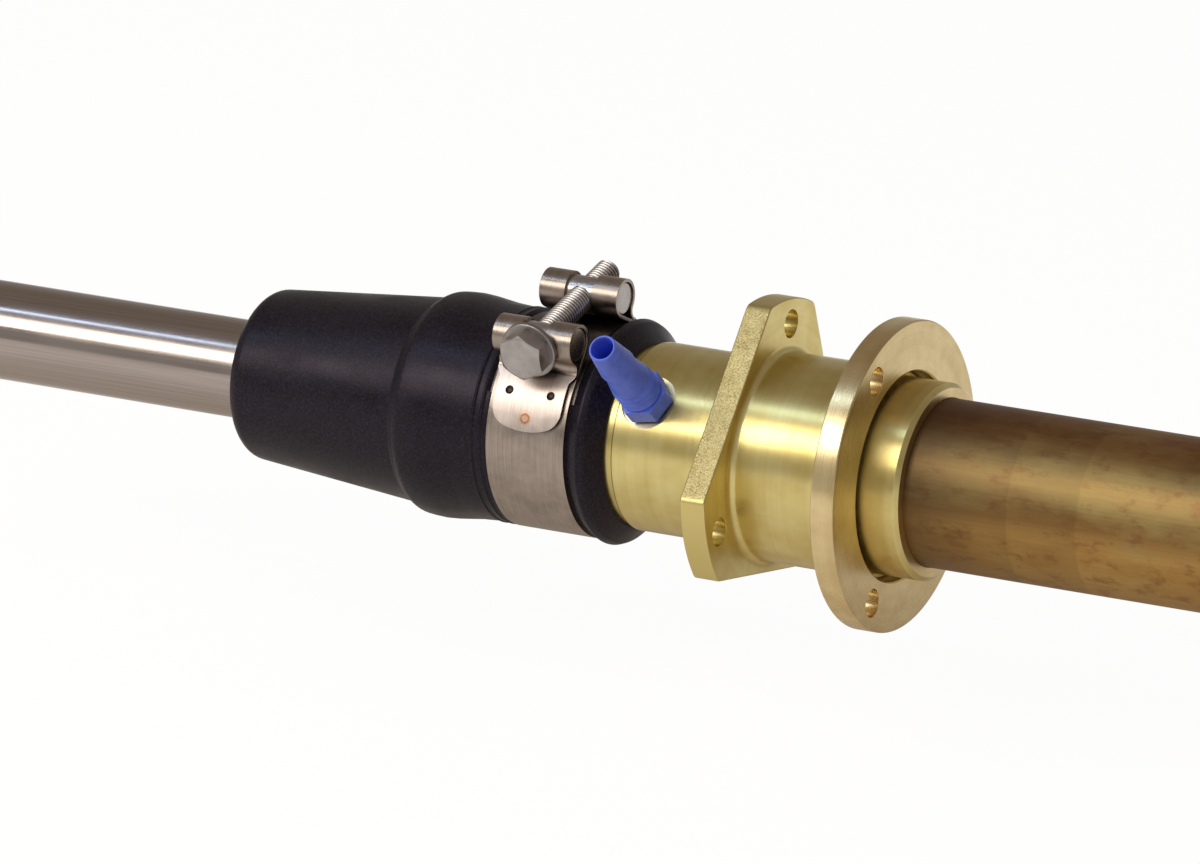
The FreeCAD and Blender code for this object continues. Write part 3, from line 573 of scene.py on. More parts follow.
def lathe(name: str, outline: Sequence[tuple[float, float]], angles: Sequence[float],
          reshape: Reshape | None = None, placement: Matrix | None = None) -> Piece:
    """Turn a closed outline about the X axis into a smooth closed mesh.

    Args:
        name: The piece's name.
        outline: Points (x, radius) in mm; points on the axis become poles.
        angles: Polar angles of the mesh's columns, in degrees, 0 along Y and 90 along Z.
        reshape: Gives the radius from (x, radius, angle) where the form isn't round.
        placement: Where the finished form goes, in mm.

    Returns:
        The new object, at the origin.
    """
    shape = bmesh.new()
    columns = []
    for angle in angles:
        turn = math.radians(angle)
        column = []
        for x, radius in outline:
            reach = reshape(x, radius, angle) if reshape else radius
            column.append(shape.verts.new((x, reach * math.cos(turn), reach * math.sin(turn))))
        columns.append(column)
    rows = len(outline)
    for index, column in enumerate(columns):
        following = columns[(index + 1) % len(columns)]
        for row in range(rows):
            after = (row + 1) % rows
            if outline[row][1] == 0 and outline[after][1] == 0:
                continue
            shape.faces.new((column[row], column[after], following[after], following[row]))
    bmesh.ops.remove_doubles(shape, verts=shape.verts, dist=JOIN)
    bmesh.ops.dissolve_degenerate(shape, edges=shape.edges, dist=JOIN / 10)
    bmesh.ops.recalc_face_normals(shape, faces=shape.faces)
    return finished_shape(name, shape, placement)


def placed(name: str, data: bpy.types.ID) -> Piece:
    """Put data into the scene.

    Args:
        name: The new object's name.
        data: Its mesh, camera or light.

    Returns:
        The object, at the origin.
    """
    piece = bpy.data.objects.new(name, data)
    bpy.context.scene.collection.objects.link(piece)
    return piece


def finished_shape(name: str, shape: bmesh.types.BMesh, placement: Matrix | None = None) -> Piece:
    """Turn a bmesh in mm into an object in metres.

    Args:
        name: The piece's name.
        shape: The form, which is freed.
        placement: Where it goes, in mm.

    Returns:
        The new object, at the origin.
    """
    if placement is not None:
        shape.transform(placement)
    shape.transform(Matrix.Scale(MM, 4))
    mesh = bpy.data.meshes.new(name)
    shape.to_mesh(mesh)
    shape.free()
    return placed(name, mesh)


def apply_modifiers(piece: Piece) -> None:
    """Make a piece's mesh what its modifiers show, and clear them.

    Args:
        piece: The piece, which keeps its object.
    """
    bare = piece.data
    piece.data = bpy.data.meshes.new_from_object(piece.evaluated_get(bpy.context.evaluated_depsgraph_get()))
    bpy.data.meshes.remove(bare)
    piece.data.name = piece.name
    piece.modifiers.clear()


def baked(piece: Piece, sharp: float = 32.0) -> Piece:
    """Apply a piece's modifiers, then shade it smooth with even normals and crisp corners.

    Args:
        piece: The object to finish.
        sharp: Edges that turn more than this many degrees stay sharp.

    Returns:
        The same object, with a plain mesh and no modifiers.
    """
    apply_modifiers(piece)
    piece.data.shade_smooth()
    piece.data.set_sharp_from_angle(angle=math.radians(sharp))
    piece.modifiers.new("even_normals", "WEIGHTED_NORMAL").keep_sharp = True
    apply_modifiers(piece)
    return piece


def combine(piece: Piece, cutters: Sequence[Piece], operation: str = "DIFFERENCE") -> None:
    """Cut forms out of a piece, or keep what lies in them, and remove the cutters.

    Args:
        piece: The piece, whose other modifiers are applied too.
        cutters: The forms.
        operation: DIFFERENCE to cut, INTERSECT to keep.
    """
    for cutter in cutters:
        cut = piece.modifiers.new(cutter.name, "BOOLEAN")
        cut.operation, cut.solver, cut.object = operation, "EXACT", cutter
    apply_modifiers(piece)
    for cutter in cutters:
        bpy.data.objects.remove(cutter)


def polar(x: float, radius: float, angle: float) -> Vector:
    """Return the point at a place along the axis, a radius from it and a polar angle about it."""
    turn = math.radians(angle)
    return Vector((x, radius * math.cos(turn), radius * math.sin(turn)))


def pointing(start: Vector, direction: Vector) -> Matrix:
    """Return the placement of a form made along X that starts at a point and runs in a direction."""
    return Matrix.Translation(start) @ AXIS.rotation_difference(direction).to_matrix().to_4x4()


def rod(name: str, radius: float, start: Vector, direction: Vector, length: float, flare: float = 0.0) -> Piece:
    """Make a round cutter.

    Args:
        name: The cutter's name.
        radius: Its radius in mm.
        start: Centre of its first end, in mm.
        direction: Way that it points.
        length: Its length in mm.
        flare: How much it widens in its first and last millimetre, for a broken edge, in mm.

    Returns:
        The cutter.
    """
    wide = radius + flare
    outline = [(0.0, 0.0), (0.0, wide), (1.0, wide), (1.0 + flare, radius), (length - 1.0 - flare, radius),
               (length - 1.0, wide), (length, wide), (length, 0.0)]
    return lathe(name, outline, even_angles(64), placement=pointing(start, direction))


def three_holes(name: str, face: float, thickness: float, radius: float, circle: float, first: float) -> list[Piece]:
    """Make the cutters of three bolt holes with broken edges in a plate across the axis.

    Args:
        name: The cutters' name, which their numbers follow.
        face: The plate's first face along the axis, in mm.
        thickness: Its thickness in mm.
        radius: The holes' radius in mm.
        circle: The radius that they lie on, in mm.
        first: The first one's polar angle, in degrees.

    Returns:
        The cutters.
    """
    past = 1.15
    return [rod(f"{name}_{number}", radius, polar(face - past, circle, first + 120 * number), AXIS,
                thickness + 2 * past, 0.25) for number in range(3)]


def from_nearest(angle: float, first: float, spacing: float) -> float:
    """Return how far an angle is from the nearest of evenly spaced directions, in radians."""
    return math.radians((angle - first + spacing / 2) % spacing - spacing / 2)


def hex_corner(flats: float) -> float:
    """Return a hexagon's radius at its corners, from its size across the flats."""
    return flats / math.sqrt(3)


def smooth_copy(name: str, node: str) -> Piece:
    """Copy a solid's mesh as a merged, smooth-shaded piece.

    Args:
        name: The piece's name.
        node: The solid's node.

    Returns:
        The new object, at the origin.
    """
    # The frame's solids are in metres, and so are these distances.
    shape = bmesh.new()
    shape.from_mesh(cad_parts[node].data)
    bmesh.ops.remove_doubles(shape, verts=shape.verts, dist=2e-6)
    bmesh.ops.dissolve_degenerate(shape, edges=shape.edges, dist=1e-7)
    shape.transform(Matrix.Scale(1 / MM, 4))
    return baked(finished_shape(name, shape))


@dataclass
class Assembly:
    """A group of pieces that are built and handed to the frame together."""

    finished: list[str] = field(default_factory=list)

    def hand_over(self, piece: Piece, node: str, slot: str, material: Material | None = None,
                  body: Body = Body.HOUSING) -> None:
        """Dress a piece and give it to the frame in place of a solid.

        Args:
            piece: The finished piece.
            node: The solid that it stands for.
            slot: The record's material slot; not used.
            material: Its finish, or None where its faces have theirs already.
            body: The body that it rides on.
        """
        if material is not None:
            piece.data.materials.clear()
            piece.data.materials.append(material)
        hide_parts(node)
        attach(piece, body.value)
        self.finished.append(piece.name)
        LOG.info("%s: %d faces, on %s", piece.name, len(piece.data.polygons), body.value)


@dataclass
class Shaft(Assembly):
    """The propeller shaft."""

    radius: float = 15.0
    start: float = -292.0
    end: float = 180.0
    chamfer: float = 1.5

    def build(self) -> None:
        """Turn the bar with its broken ends."""
        outline = rounded([
            Corner(self.start, 0), Corner(self.start, self.radius - self.chamfer, 0.3),
            Corner(self.start + self.chamfer, self.radius, 0.3), Corner(self.end - self.chamfer, self.radius, 0.3),
            Corner(self.end, self.radius - self.chamfer, 0.3), Corner(self.end, 0)])
        piece = baked(lathe("shaft_bar", outline, even_angles(128)))
        self.hand_over(piece, "propeller_shaft", "shaft_steel", DrawnStainless().material(), Body.SHAFT)


@dataclass
class SealBoot(Assembly):
    """The moulded rubber boot: nose cone, crease, bulge, fine ridges, band seat and aft lip.

    Places are along the shaft's axis from the flange's aft face, in mm. The bridge sizes are those of the clamp's
    bridge strip, which is pressed into the band seat.
    """

    nose: float = -174.0
    crease: float = -114.5
    seat_radius: float = 31.7
    seat_start: float = -81.0
    seat_end: float = -54.0
    ridges: tuple[float, ...] = (-85.7, -82.9)
    lip_crest: float = -48.9
    aft_end: float = -43.7
    bore: float = 15.05
    bridge_half_angle: float = 48.0
    bridge_half_width: float = 14.0
    bridge_thickness: float = 0.55

    def outside(self) -> list[Corner]:
        """Lay out the outside.

        Returns:
            Its outline, from the nose to the aft lip.
        """
        corners = [
            Corner(self.nose, 25.6, 5.0),
            Corner(self.crease, 31.2, 1.5),
            Corner(self.crease + 2.9, 33.5, 5.0),
            Corner(-105.0, 34.2, 30.0),
            Corner(-93.6, 32.7, 12.0),
        ]
        for ridge in self.ridges:
            corners += [Corner(ridge - 0.6, 32.25, 0.2), Corner(ridge, 32.7, 0.25), Corner(ridge + 0.6, 32.2, 0.2)]
        return corners + [
            Corner(self.seat_start, 32.0, 0.15),
            Corner(self.seat_start, self.seat_radius),
            Corner(self.seat_end, self.seat_radius, 0.6),
            Corner(self.lip_crest - 1.0, 34.0, 1.2),
            Corner(self.lip_crest + 1.0, 33.2, 2.0),
            Corner(self.aft_end, 28.0, 0.6),
        ]

    def inside(self) -> list[Corner]:
        """Lay out the bore.

        Returns:
            Its outline, from the aft lip to the mouth, with the water's chamber and the two lips.
        """
        land = self.bore
        places = [(self.aft_end, 27.0), (-91.0, 27.0), (-92.0, 26.0), (-92.0, 23.0), (-105.0, 23.0), (-113.0, land),
                  (-154.0, land), (-154.0, 18.0), (-160.0, 18.0), (-160.0, land), (-162.5, land), (-163.75, 17.5),
                  (-165.0, 17.5), (-166.25, land), (-168.75, land), (self.nose, 17.5)]
        return [Corner(x, radius) for x, radius in places]

    def under_bridge(self, x: float, radius: float, angle: float) -> float:
        """Sink the band seat where the clamp's bridge strip is pressed into it.

        Args:
            x: Place along the axis, in mm.
            radius: The round outline's radius there, in mm.
            angle: Polar angle, in degrees.

        Returns:
            The radius, in mm.
        """
        near = abs(math.degrees(from_nearest(angle, 90 + CLAMP_TURN, 360))) < self.bridge_half_angle
        along = abs(x - CLAMP_MIDDLE) <= self.bridge_half_width
        if near and along and radius > self.seat_radius - 0.1:
            return self.seat_radius - self.bridge_thickness
        return radius

    def build(self) -> None:
        """Turn the boot and press the bridge's bed into it, with close rows and columns along the bed's edges."""
        outline = []
        for x, radius in rounded(self.outside() + self.inside(), 8.0):
            outline.append((x, radius))
            if max(abs(x - self.seat_start), abs(radius - self.seat_radius)) < JOIN:
                outline += [(x + 0.01, radius), (self.seat_end - 0.7, radius)]
        edges = [90 + CLAMP_TURN + side * self.bridge_half_angle for side in (-1, 1)]
        extra = [edge + offset for edge in edges for offset in (-0.02, 0.02)]
        piece = baked(lathe("boot_moulding", outline, even_angles(144, extra), self.under_bridge), 40.0)
        self.hand_over(piece, "seal_boot", "boot_rubber", MouldedRubber().material())


@dataclass
class BoltThread:
    """The clamp bolt's M8 thread as a Geometry Nodes rule: a tube whose radius follows a helix.

    Attributes:
        crest_start: Share of a flank's height at which its flat crest starts.
        columns: Mesh columns round the thread.
        rows_per_turn: Mesh rows in one pitch.
    """

    radius: float = 4.0
    pitch: float = 1.25
    depth: float = 0.75
    chamfer: float = 1.0
    crest_start: float = 1 / 1.15
    columns: int = 48
    rows_per_turn: int = 12

    def tree(self) -> bpy.types.NodeTree:
        """Build the rule.

        Returns:
            The node tree with its named sizes, in mm.
        """
        tree = bpy.data.node_groups.new("bolt_thread_rule", "GeometryNodeTree")
        sockets = dict.fromkeys(("Radius", "Pitch", "Depth", "Length", "Chamfer"), "Float")
        for name, kind in (sockets | {"Rows": "Int", "Columns": "Int", "Steel": "Material"}).items():
            tree.interface.new_socket(name, in_out="INPUT", socket_type=f"NodeSocket{kind}")
        tree.interface.new_socket("Thread", in_out="OUTPUT", socket_type="NodeSocketGeometry")
        add = partial(add_node, tree)
        given = add("NodeGroupInput").outputs
        grid = add("GeometryNodeMeshGrid", 1.0, 1.0, given["Rows"], given["Columns"])
        place = add("ShaderNodeVectorMath", add("GeometryNodeInputPosition"), (0.5, 0.5, 0.0), operation="ADD")
        # A place on the grid is a share of the length and a share of one turn.
        share, turns, _ = add("ShaderNodeSeparateXYZ", place).outputs
        along = add("ShaderNodeMath", share, given["Length"], operation="MULTIPLY")
        # The flank rises from 0 at the groove's bottom to 1 at the middle of the crest.
        phase = add("ShaderNodeMath", along, given["Pitch"], operation="DIVIDE")
        phase = add("ShaderNodeMath", phase, turns, operation="SUBTRACT")
        phase = add("ShaderNodeMath", phase, operation="FRACT")
        flank = add("ShaderNodeMath", phase, 2.0, -1.0, operation="MULTIPLY_ADD")
        flank = add("ShaderNodeMath", flank, operation="ABSOLUTE")
        root = add("ShaderNodeMath", given["Radius"], given["Depth"], operation="SUBTRACT")
        radius = add("ShaderNodeMapRange", flank, 0.0, self.crest_start, root, given["Radius"])
        # The tip's chamfer cuts into the last turns.
        left = add("ShaderNodeMath", given["Length"], along, operation="SUBTRACT")
        tip = add("ShaderNodeMath", given["Radius"], given["Chamfer"], operation="SUBTRACT")
        slope = add("ShaderNodeMath", left, tip, operation="ADD")
        radius = add("ShaderNodeMath", radius, slope, operation="MINIMUM")
        # The first and the last row close on the axis.
        for test, limit in (("GREATER_THAN", JOIN), ("LESS_THAN", 1 - JOIN)):
            within = add("ShaderNodeMath", share, limit, operation=test)
            radius = add("ShaderNodeMath", radius, within, operation="MULTIPLY")
        turn = add("ShaderNodeMath", turns, 2 * math.pi, operation="MULTIPLY")
        across = [add("ShaderNodeMath", radius, add("ShaderNodeMath", turn, operation=wave), operation="MULTIPLY")
                  for wave in ("COSINE", "SINE")]
        back = add("ShaderNodeMath", along, -1.0, operation="MULTIPLY")
        spot = add("ShaderNodeCombineXYZ", back, *across)
        shaped = add("GeometryNodeSetPosition", named={"Geometry": grid, "Position": spot})
        merged = add("GeometryNodeMergeByDistance", named={"Geometry": shaped, "Distance": WELD})
        real = add("GeometryNodeRealizeInstances", merged)
        dressed = add("GeometryNodeSetMaterial", named={"Geometry": real, "Material": given["Steel"]})
        add("NodeGroupOutput", dressed)
        return tree

    def shape(self, length: float, steel: Material) -> bpy.types.Mesh:
        """Run the rule.

        Args:
            length: Threaded length in mm.
            steel: The bolt's finish.

        Returns:
            A plain mesh in mm, along -X from the head's seat.
        """
        host = placed("thread_host", bpy.data.meshes.new("thread_host"))
        modifier = host.modifiers.new("thread", "NODES")
        modifier.node_group = self.tree()
        sizes = {"Radius": self.radius, "Pitch": self.pitch, "Depth": self.depth, "Length": length,
                 "Chamfer": self.chamfer, "Columns": self.columns + 1,
                 "Rows": round(length / self.pitch * self.rows_per_turn) + 1, "Steel": steel}
        for item in modifier.node_group.interface.items_tree:
            if item.in_out == "INPUT":
                modifier[item.identifier] = sizes[item.name]
        mesh = bpy.data.meshes.new_from_object(host.evaluated_get(bpy.context.evaluated_depsgraph_get()))
        bpy.data.objects.remove(host)
        return mesh


class BandFace(IntEnum):
    """The band's kinds of face, in the order of its materials. A rim takes the one two further on, so the tab's rim
    is painted dark.
    """

    STRIP = 0
    TAB = 1
    STRIP_RIM = 2
    DARK_PAINTED = 3


@dataclass
class BandStrip:
    """The clamp's band: one strip whose two ends loop round the barrels and fold back as rounded tabs.

    Sizes are in mm and degrees, in the clamp's own frame. A midline is the middle of the strip's thickness.

    Attributes:
        midline: Its radius round the boot.
        loop_midline: Its radius round a barrel.
        barrel_offset: How far a barrel stands from the clamp's middle.
        fold_radius: Its radius in the reverse fold after the loop.
        tab_narrowing: Length over which the tab narrows from the strip's width to its own.
        easing: Width of the broken edges.
        slanted: Below this share of facing outwards, a face near the tab's outside is part of its edge.
    """

    thickness: float = 1.0
    half_width: float = 13.0
    midline: float = 32.2
    loop_midline: float = 5.5
    barrel_offset: float = 14.7
    fold_radius: float = 3.0
    tab_midline: float = 33.25
    tab_end: float = 156.0
    tab_half_width: float = 11.5
    tab_narrowing: float = 3.0
    tip_rounding: float = 24.0
    corner_rounding: float = 6.5
    slot_half_width: float = 4.5
    slot_floor: float = 31.9
    dimple_spacing: float = 13.8
    dimple_angle: float = 136.0
    dimple_radius: float = 1.35
    easing: float = 0.28
    slanted: float = 0.95
    tab_rows: int = 24

    def arc(self, centre: Vector, radius: float, start: float, end: float, step: float) -> list[Vector]:
        """Return points (0, y, z) of an arc from one polar angle to another."""
        count = math.ceil(abs(end - start) / step)
        return [centre + polar(0, radius, start + (end - start) * number / count) for number in range(count + 1)]

    def path(self) -> tuple[list[Vector], float]:
        """Lay out the midline of one end.

        Returns:
            Points from under the boot to the end of the fold, and the angle at which the tab starts.
        """
        origin = Vector()
        loop = Vector((0, -self.barrel_offset, BOLT_HEIGHT))
        bearing = math.degrees(math.atan2(loop.z, loop.y))
        lift = bearing + math.degrees(math.acos((self.midline + self.loop_midline) / loop.length))
        reach, from_loop = self.tab_midline + self.fold_radius, self.loop_midline + self.fold_radius
        cosine = (loop.length ** 2 + reach ** 2 - from_loop ** 2) / (2 * loop.length * reach)
        tab_start = bearing + math.degrees(math.acos(cosine))
        fold = polar(0, reach, tab_start)
        leave = math.degrees(math.atan2(fold.z - loop.z, fold.y - loop.y)) + 360
        points = self.arc(origin, self.midline, 270, lift, 2.5)
        foot, top = points[-1], loop - polar(0, self.loop_midline, lift)
        points += [foot.lerp(top, number / 6) for number in range(1, 6)]
        points += self.arc(loop, self.loop_midline, lift - 180, leave, 7.0)
        points += self.arc(fold, self.fold_radius, leave - 180, tab_start - 180, 9.0)[1:]
        # One point lies level with the slot's floor, where faces start to be left out.
        levelled = points[:1]
        for point in points[1:]:
            before = levelled[-1]
            if (before.z - self.slot_floor) * (point.z - self.slot_floor) < 0:
                levelled.append(before.lerp(point, (self.slot_floor - before.z) / (point.z - before.z)))
            levelled.append(point)
        return levelled, tab_start

    def tab_length(self, x: float, length: float) -> float:
        """Round the tab's tip and corners.

        Args:
            x: Distance from the tab's middle, in mm.
            length: The tab's full length, in mm.

        Returns:
            How far the tab reaches there, in mm.
        """
        side = abs(x)
        inset = self.tab_half_width - self.corner_rounding
        slope = self.tip_rounding - self.corner_rounding
        if side < inset * self.tip_rounding / slope:
            return length - self.tip_rounding + math.sqrt(self.tip_rounding ** 2 - side ** 2)
        corner = length - self.tip_rounding + math.sqrt(slope ** 2 - inset ** 2)
        return corner + math.sqrt(max(self.corner_rounding ** 2 - (side - inset) ** 2, 0.0))

    def rows(self) -> list[list[Vector]]:
        """Lay out one end's middle surface.

        Returns:
            Rows of points across the strip, from under the boot to the tab's tip.
        """
        # One column lies on the slot's side, and they come closer towards the edge.
        half = [0.0, 0.12, 0.24, self.slot_half_width / self.half_width, 0.46, 0.58, 0.69, 0.78, 0.86, 0.92, 0.96,
                0.985, 1.0]
        shares = [-share for share in reversed(half[1:])] + half
        points, tab_start = self.path()
        rows = [[Vector((share * self.half_width, point.y, point.z)) for share in shares] for point in points]
        length = math.radians(self.tab_end - tab_start) * self.tab_midline
        for number in range(1, self.tab_rows + 1):
            row = []
            for share in shares:
                reach = self.tab_length(share * self.tab_half_width, length) * number / self.tab_rows
                narrowed = min(reach / self.tab_narrowing, 1.0)
                narrowed = narrowed * narrowed * (3 - 2 * narrowed)
                width = self.half_width + (self.tab_half_width - self.half_width) * narrowed
                angle = tab_start + math.degrees(reach / self.tab_midline)
                row.append(polar(share * width, self.tab_midline, angle))
            rows.append(row)
        return rows

    def dimple(self, side: int, end: int) -> Piece:
        """Make the punch of one dimple, with a rounded nose.

        Args:
            side: 1 or -1 for the tab's side along the shaft.
            end: 1 or -1 for the strip's end.

        Returns:
            The punch, its faces in the painted dark finish.
        """
        radius = self.dimple_radius
        nose = [(-0.6, 0.0), (-0.55, radius * 0.4), (-0.4, radius * 0.7), (-0.2, radius * 0.9), (0.0, radius),
                (1.0, radius * 1.2), (1.0, 0.0)]
        surface = self.tab_midline + self.thickness / 2
        spot = polar(side * self.dimple_spacing / 2, surface, self.dimple_angle)
        outward = polar(0, 1, self.dimple_angle)
        for vector in (spot, outward):
            vector.y *= end
        punch = lathe(f"dimple_{side}_{end}", nose, even_angles(32), placement=pointing(spot, outward))
        for face in punch.data.polygons:
            face.material_index = BandFace.DARK_PAINTED
        return punch

    def middle_surface(self) -> Piece:
        """Bend both ends of the strip, with a slot for the bolt in each.

        Returns:
            The strip without its thickness.
        """
        shape = bmesh.new()
        before_tab = len(self.path()[0]) - 1
        for end in (1, -1):
            grid = [[shape.verts.new((point.x, point.y * end, point.z)) for point in row] for row in self.rows()]
            for number, (row, following) in enumerate(zip(grid, grid[1:])):
                kind = BandFace.TAB if number >= before_tab else BandFace.STRIP
                for corners in zip(row, row[1:], following[1:], following):
                    in_slot = all(abs(corner.co.x) < self.slot_half_width + 0.01 and
                                  corner.co.z > self.slot_floor - 0.01 for corner in corners)
                    if not in_slot:
                        shape.faces.new(corners).material_index = kind
        bmesh.ops.delete(shape, geom=[vert for vert in shape.verts if not vert.link_faces], context="VERTS")
        bmesh.ops.remove_doubles(shape, verts=shape.verts, dist=WELD)
        bmesh.ops.recalc_face_normals(shape, faces=shape.faces)
        return finished_shape("band_strip", shape)

    def build(self, placement: Matrix) -> Piece:
        """Bend the strip, thicken it, ease its edges, punch its dimples and dress it.

        Args:
            placement: Where the clamp's own frame goes, in mm.

        Returns:
            The finished band, its faces dressed.
        """
        piece = self.middle_surface()
        strip = RolledStrip().material()
        # The tab's steel is painted lighter than the strip's, a painted highlight.
        tab = RolledStrip("stainless_strip_tab_painted_highlight", "#bfb0a5", "#d9cbc0", 0.4).material()
        dark_steel_paint = MachinedSteel("stainless_painted_dark", "#352f2b", "#463e39", 0.42).material()
        for material in (strip, tab, strip, dark_steel_paint):
            piece.data.materials.append(material)
        thicken = piece.modifiers.new("thicken", "SOLIDIFY")
        thicken.thickness, thicken.offset, thicken.use_even_offset = self.thickness * MM, 0.0, True
        # The tab's rim takes the dark finish, a painted shadow along the tab's outline; the strip's rim keeps the
        # strip's.
        thicken.material_offset_rim = BandFace.DARK_PAINTED - BandFace.TAB
        ease = piece.modifiers.new("ease", "BEVEL")
        ease.width, ease.segments = self.easing * MM, 2
        ease.limit_method, ease.angle_limit = "ANGLE", math.radians(50)
        combine(piece, [self.dimple(side, end) for side in (-1, 1) for end in (1, -1)])
        # Painted shadow: the tab's eased outer edge is painted dark too.
        for face in piece.data.polygons:
            outwards = Vector((0, face.center.y, face.center.z))
            above = outwards.length / MM > self.tab_midline + self.thickness / 2 - self.easing - 0.05
            leans = face.normal.dot(outwards.normalized()) < self.slanted
            if face.material_index == BandFace.TAB and above and leans:
                face.material_index = BandFace.DARK_PAINTED
        piece.data.transform(Matrix.Scale(MM, 4) @ placement @ Matrix.Scale(1 / MM, 4))
        return baked(piece, 40.0)


class BoltFace(IntEnum):
    """The bolt's kinds of face, in the order of its materials."""

    HEAD = 0
    THREAD = 1


@dataclass
class Clamp(Assembly):
    """The heavy-duty hose clamp: looped band, bridge strip, two barrels, washer and bolt.

    Attributes:
        spacing: Distance between the barrels, in mm.
        loop_outer_radius: The band's outside round a barrel, on which the washer sits, in mm.
        crown_share: Radius of the round face on the head, as a share of its size across the flats.
        past_far_barrel: How far the bolt reaches past the far barrel's middle, in mm.
    """

    spacing: float = 29.4
    barrel_radius: float = 5.0
    barrel_length: float = 25.0
    loop_outer_radius: float = 6.0
    washer_radius: float = 8.75
    washer_thickness: float = 1.6
    washer_bore: float = 4.0
    head_flats: float = 13.0
    head_height: float = 5.3
    crown_share: float = 0.475
    past_far_barrel: float = 14.5
    thread: BoltThread = field(default_factory=BoltThread)

    def across(self, offset: float) -> Matrix:
        """Return the placement of a form that is turned about the bolt's line, pointing towards its head."""
        axes = Matrix(((0, 1, 0, CLAMP_MIDDLE), (-1, 0, 0, offset), (0, 0, 1, BOLT_HEIGHT), (0, 0, 0, 1)))
        return CLAMP_AXES @ axes

    def barrel(self, name: str, offset: float) -> Piece:
        """Turn one barrel along the shaft's axis, with eased ends, and drill it for the bolt.

        Args:
            name: The piece's name.
            offset: Its place across the clamp, in mm.

        Returns:
            The finished barrel.
        """
        half, radius = self.barrel_length / 2, self.barrel_radius
        outline = rounded([Corner(-half, 0), Corner(-half, radius, 0.6), Corner(half, radius, 0.6), Corner(half, 0)])
        place = CLAMP_AXES @ Matrix.Translation((CLAMP_MIDDLE, offset, BOLT_HEIGHT))
        piece = lathe(name, outline, even_angles(64), placement=place)
        start = place @ Vector((0, -2 * radius, 0))
        combine(piece, [rod("bolt_drill", self.washer_bore, start, CLAMP_AXES @ Vector((0, 1, 0)), 4 * radius)])
        return baked(piece)

    def washer(self, face: float) -> Piece:
        """Turn the washer, its outer edge eased."""
        outline = rounded([
            Corner(0, self.washer_bore), Corner(0, self.washer_radius, 0.25),
            Corner(self.washer_thickness, self.washer_radius, 0.5), Corner(self.washer_thickness, self.washer_bore)])
        return baked(lathe("bolt_washer_disc", outline, even_angles(96), placement=self.across(face)))

    def bolt(self, seat: float) -> Piece:
        """Form the head from its crown and its hexagon, run the thread's rule, and join and dress the two.

        Args:
            seat: Where the head's seat lies across the clamp, in mm.

        Returns:
            The finished bolt, its faces dressed.
        """
        corner, top = hex_corner(self.head_flats), self.head_height
        round_face, wide = self.head_flats * self.crown_share, corner + 0.1
        slope = (wide - round_face) * math.tan(math.radians(30))
        crown = [(0.02, 0.0), (0.02, corner - 0.5), (0.35, wide), (top - slope, wide),
                 (top - 0.06, round_face + 0.05), (top, round_face - 0.15), (top, 0.0)]
        piece = lathe("bolt_forged", crown, even_angles(180), placement=self.across(seat))
        hexagon = lathe("head_hexagon", [(-1.0, 0.0), (-1.0, corner), (top + 1, corner), (top + 1, 0.0)],
                        [30 + 60 * flat for flat in range(6)], placement=self.across(seat))
        combine(piece, [hexagon], "INTERSECT")
        length = self.spacing / 2 + self.past_far_barrel - seat
        threaded = ThreadedSteel().material()
        shank = self.thread.shape(length, threaded)
        shank.transform(Matrix.Scale(MM, 4) @ self.across(seat))
        shape = bmesh.new()
        shape.from_mesh(shank)
        for face in shape.faces:
            face.material_index = BoltFace.THREAD
        bmesh.ops.recalc_face_normals(shape, faces=shape.faces)
        shape.from_mesh(piece.data)
        shape.to_mesh(piece.data)
        shape.free()
        formed = MachinedSteel("stainless_bolt_formed", "#a49d99", "#b8b1ad", 0.33).material()
        for material in (formed, threaded):
            piece.data.materials.append(material)
        return baked(piece, 28.0)

    def build(self) -> None:
        """Build the clamp's pieces in the order that they are put together."""
        satin = MachinedSteel("stainless_washer_satin", "#918a86", "#a39c98", 0.36).material()
        bright = MachinedSteel("stainless_turned_bright", "#a8a19d", "#bcb6b2", 0.26).material()
        # Painted shade: the bridge strip's steel is painted dark for the shade under the bolt between the loops.
        shaded = MachinedSteel("stainless_strip_painted_shade", "#453e3b", "#625a56", 0.32).material()
        near, far = -self.spacing / 2, self.spacing / 2
        face = near - self.loop_outer_radius
        band = BandStrip().build(Matrix.Translation((CLAMP_MIDDLE, 0, 0)) @ CLAMP_AXES)
        self.hand_over(band, "clamp_band", "clamp_steel")
        self.hand_over(smooth_copy("bridge_strip", "clamp_bridge"), "clamp_bridge", "clamp_steel", shaded)
        for name, offset, node in (("barrel_near", near, "clamp_barrel_plain"),
                                   ("barrel_far", far, "clamp_barrel_threaded")):
            self.hand_over(self.barrel(name, offset), node, "barrel_steel", bright)
        self.hand_over(self.washer(face), "clamp_bolt_washer", "bolt_steel", satin)
        self.hand_over(self.bolt(face - self.washer_thickness), "clamp_bolt", "bolt_steel")


class CastingFace(IntEnum):
    """The casting's kinds of face, in the order of its materials."""

    TURNED = 0
    CAST = 1
    SPOT_FACED = 2
    COLLAR = 3


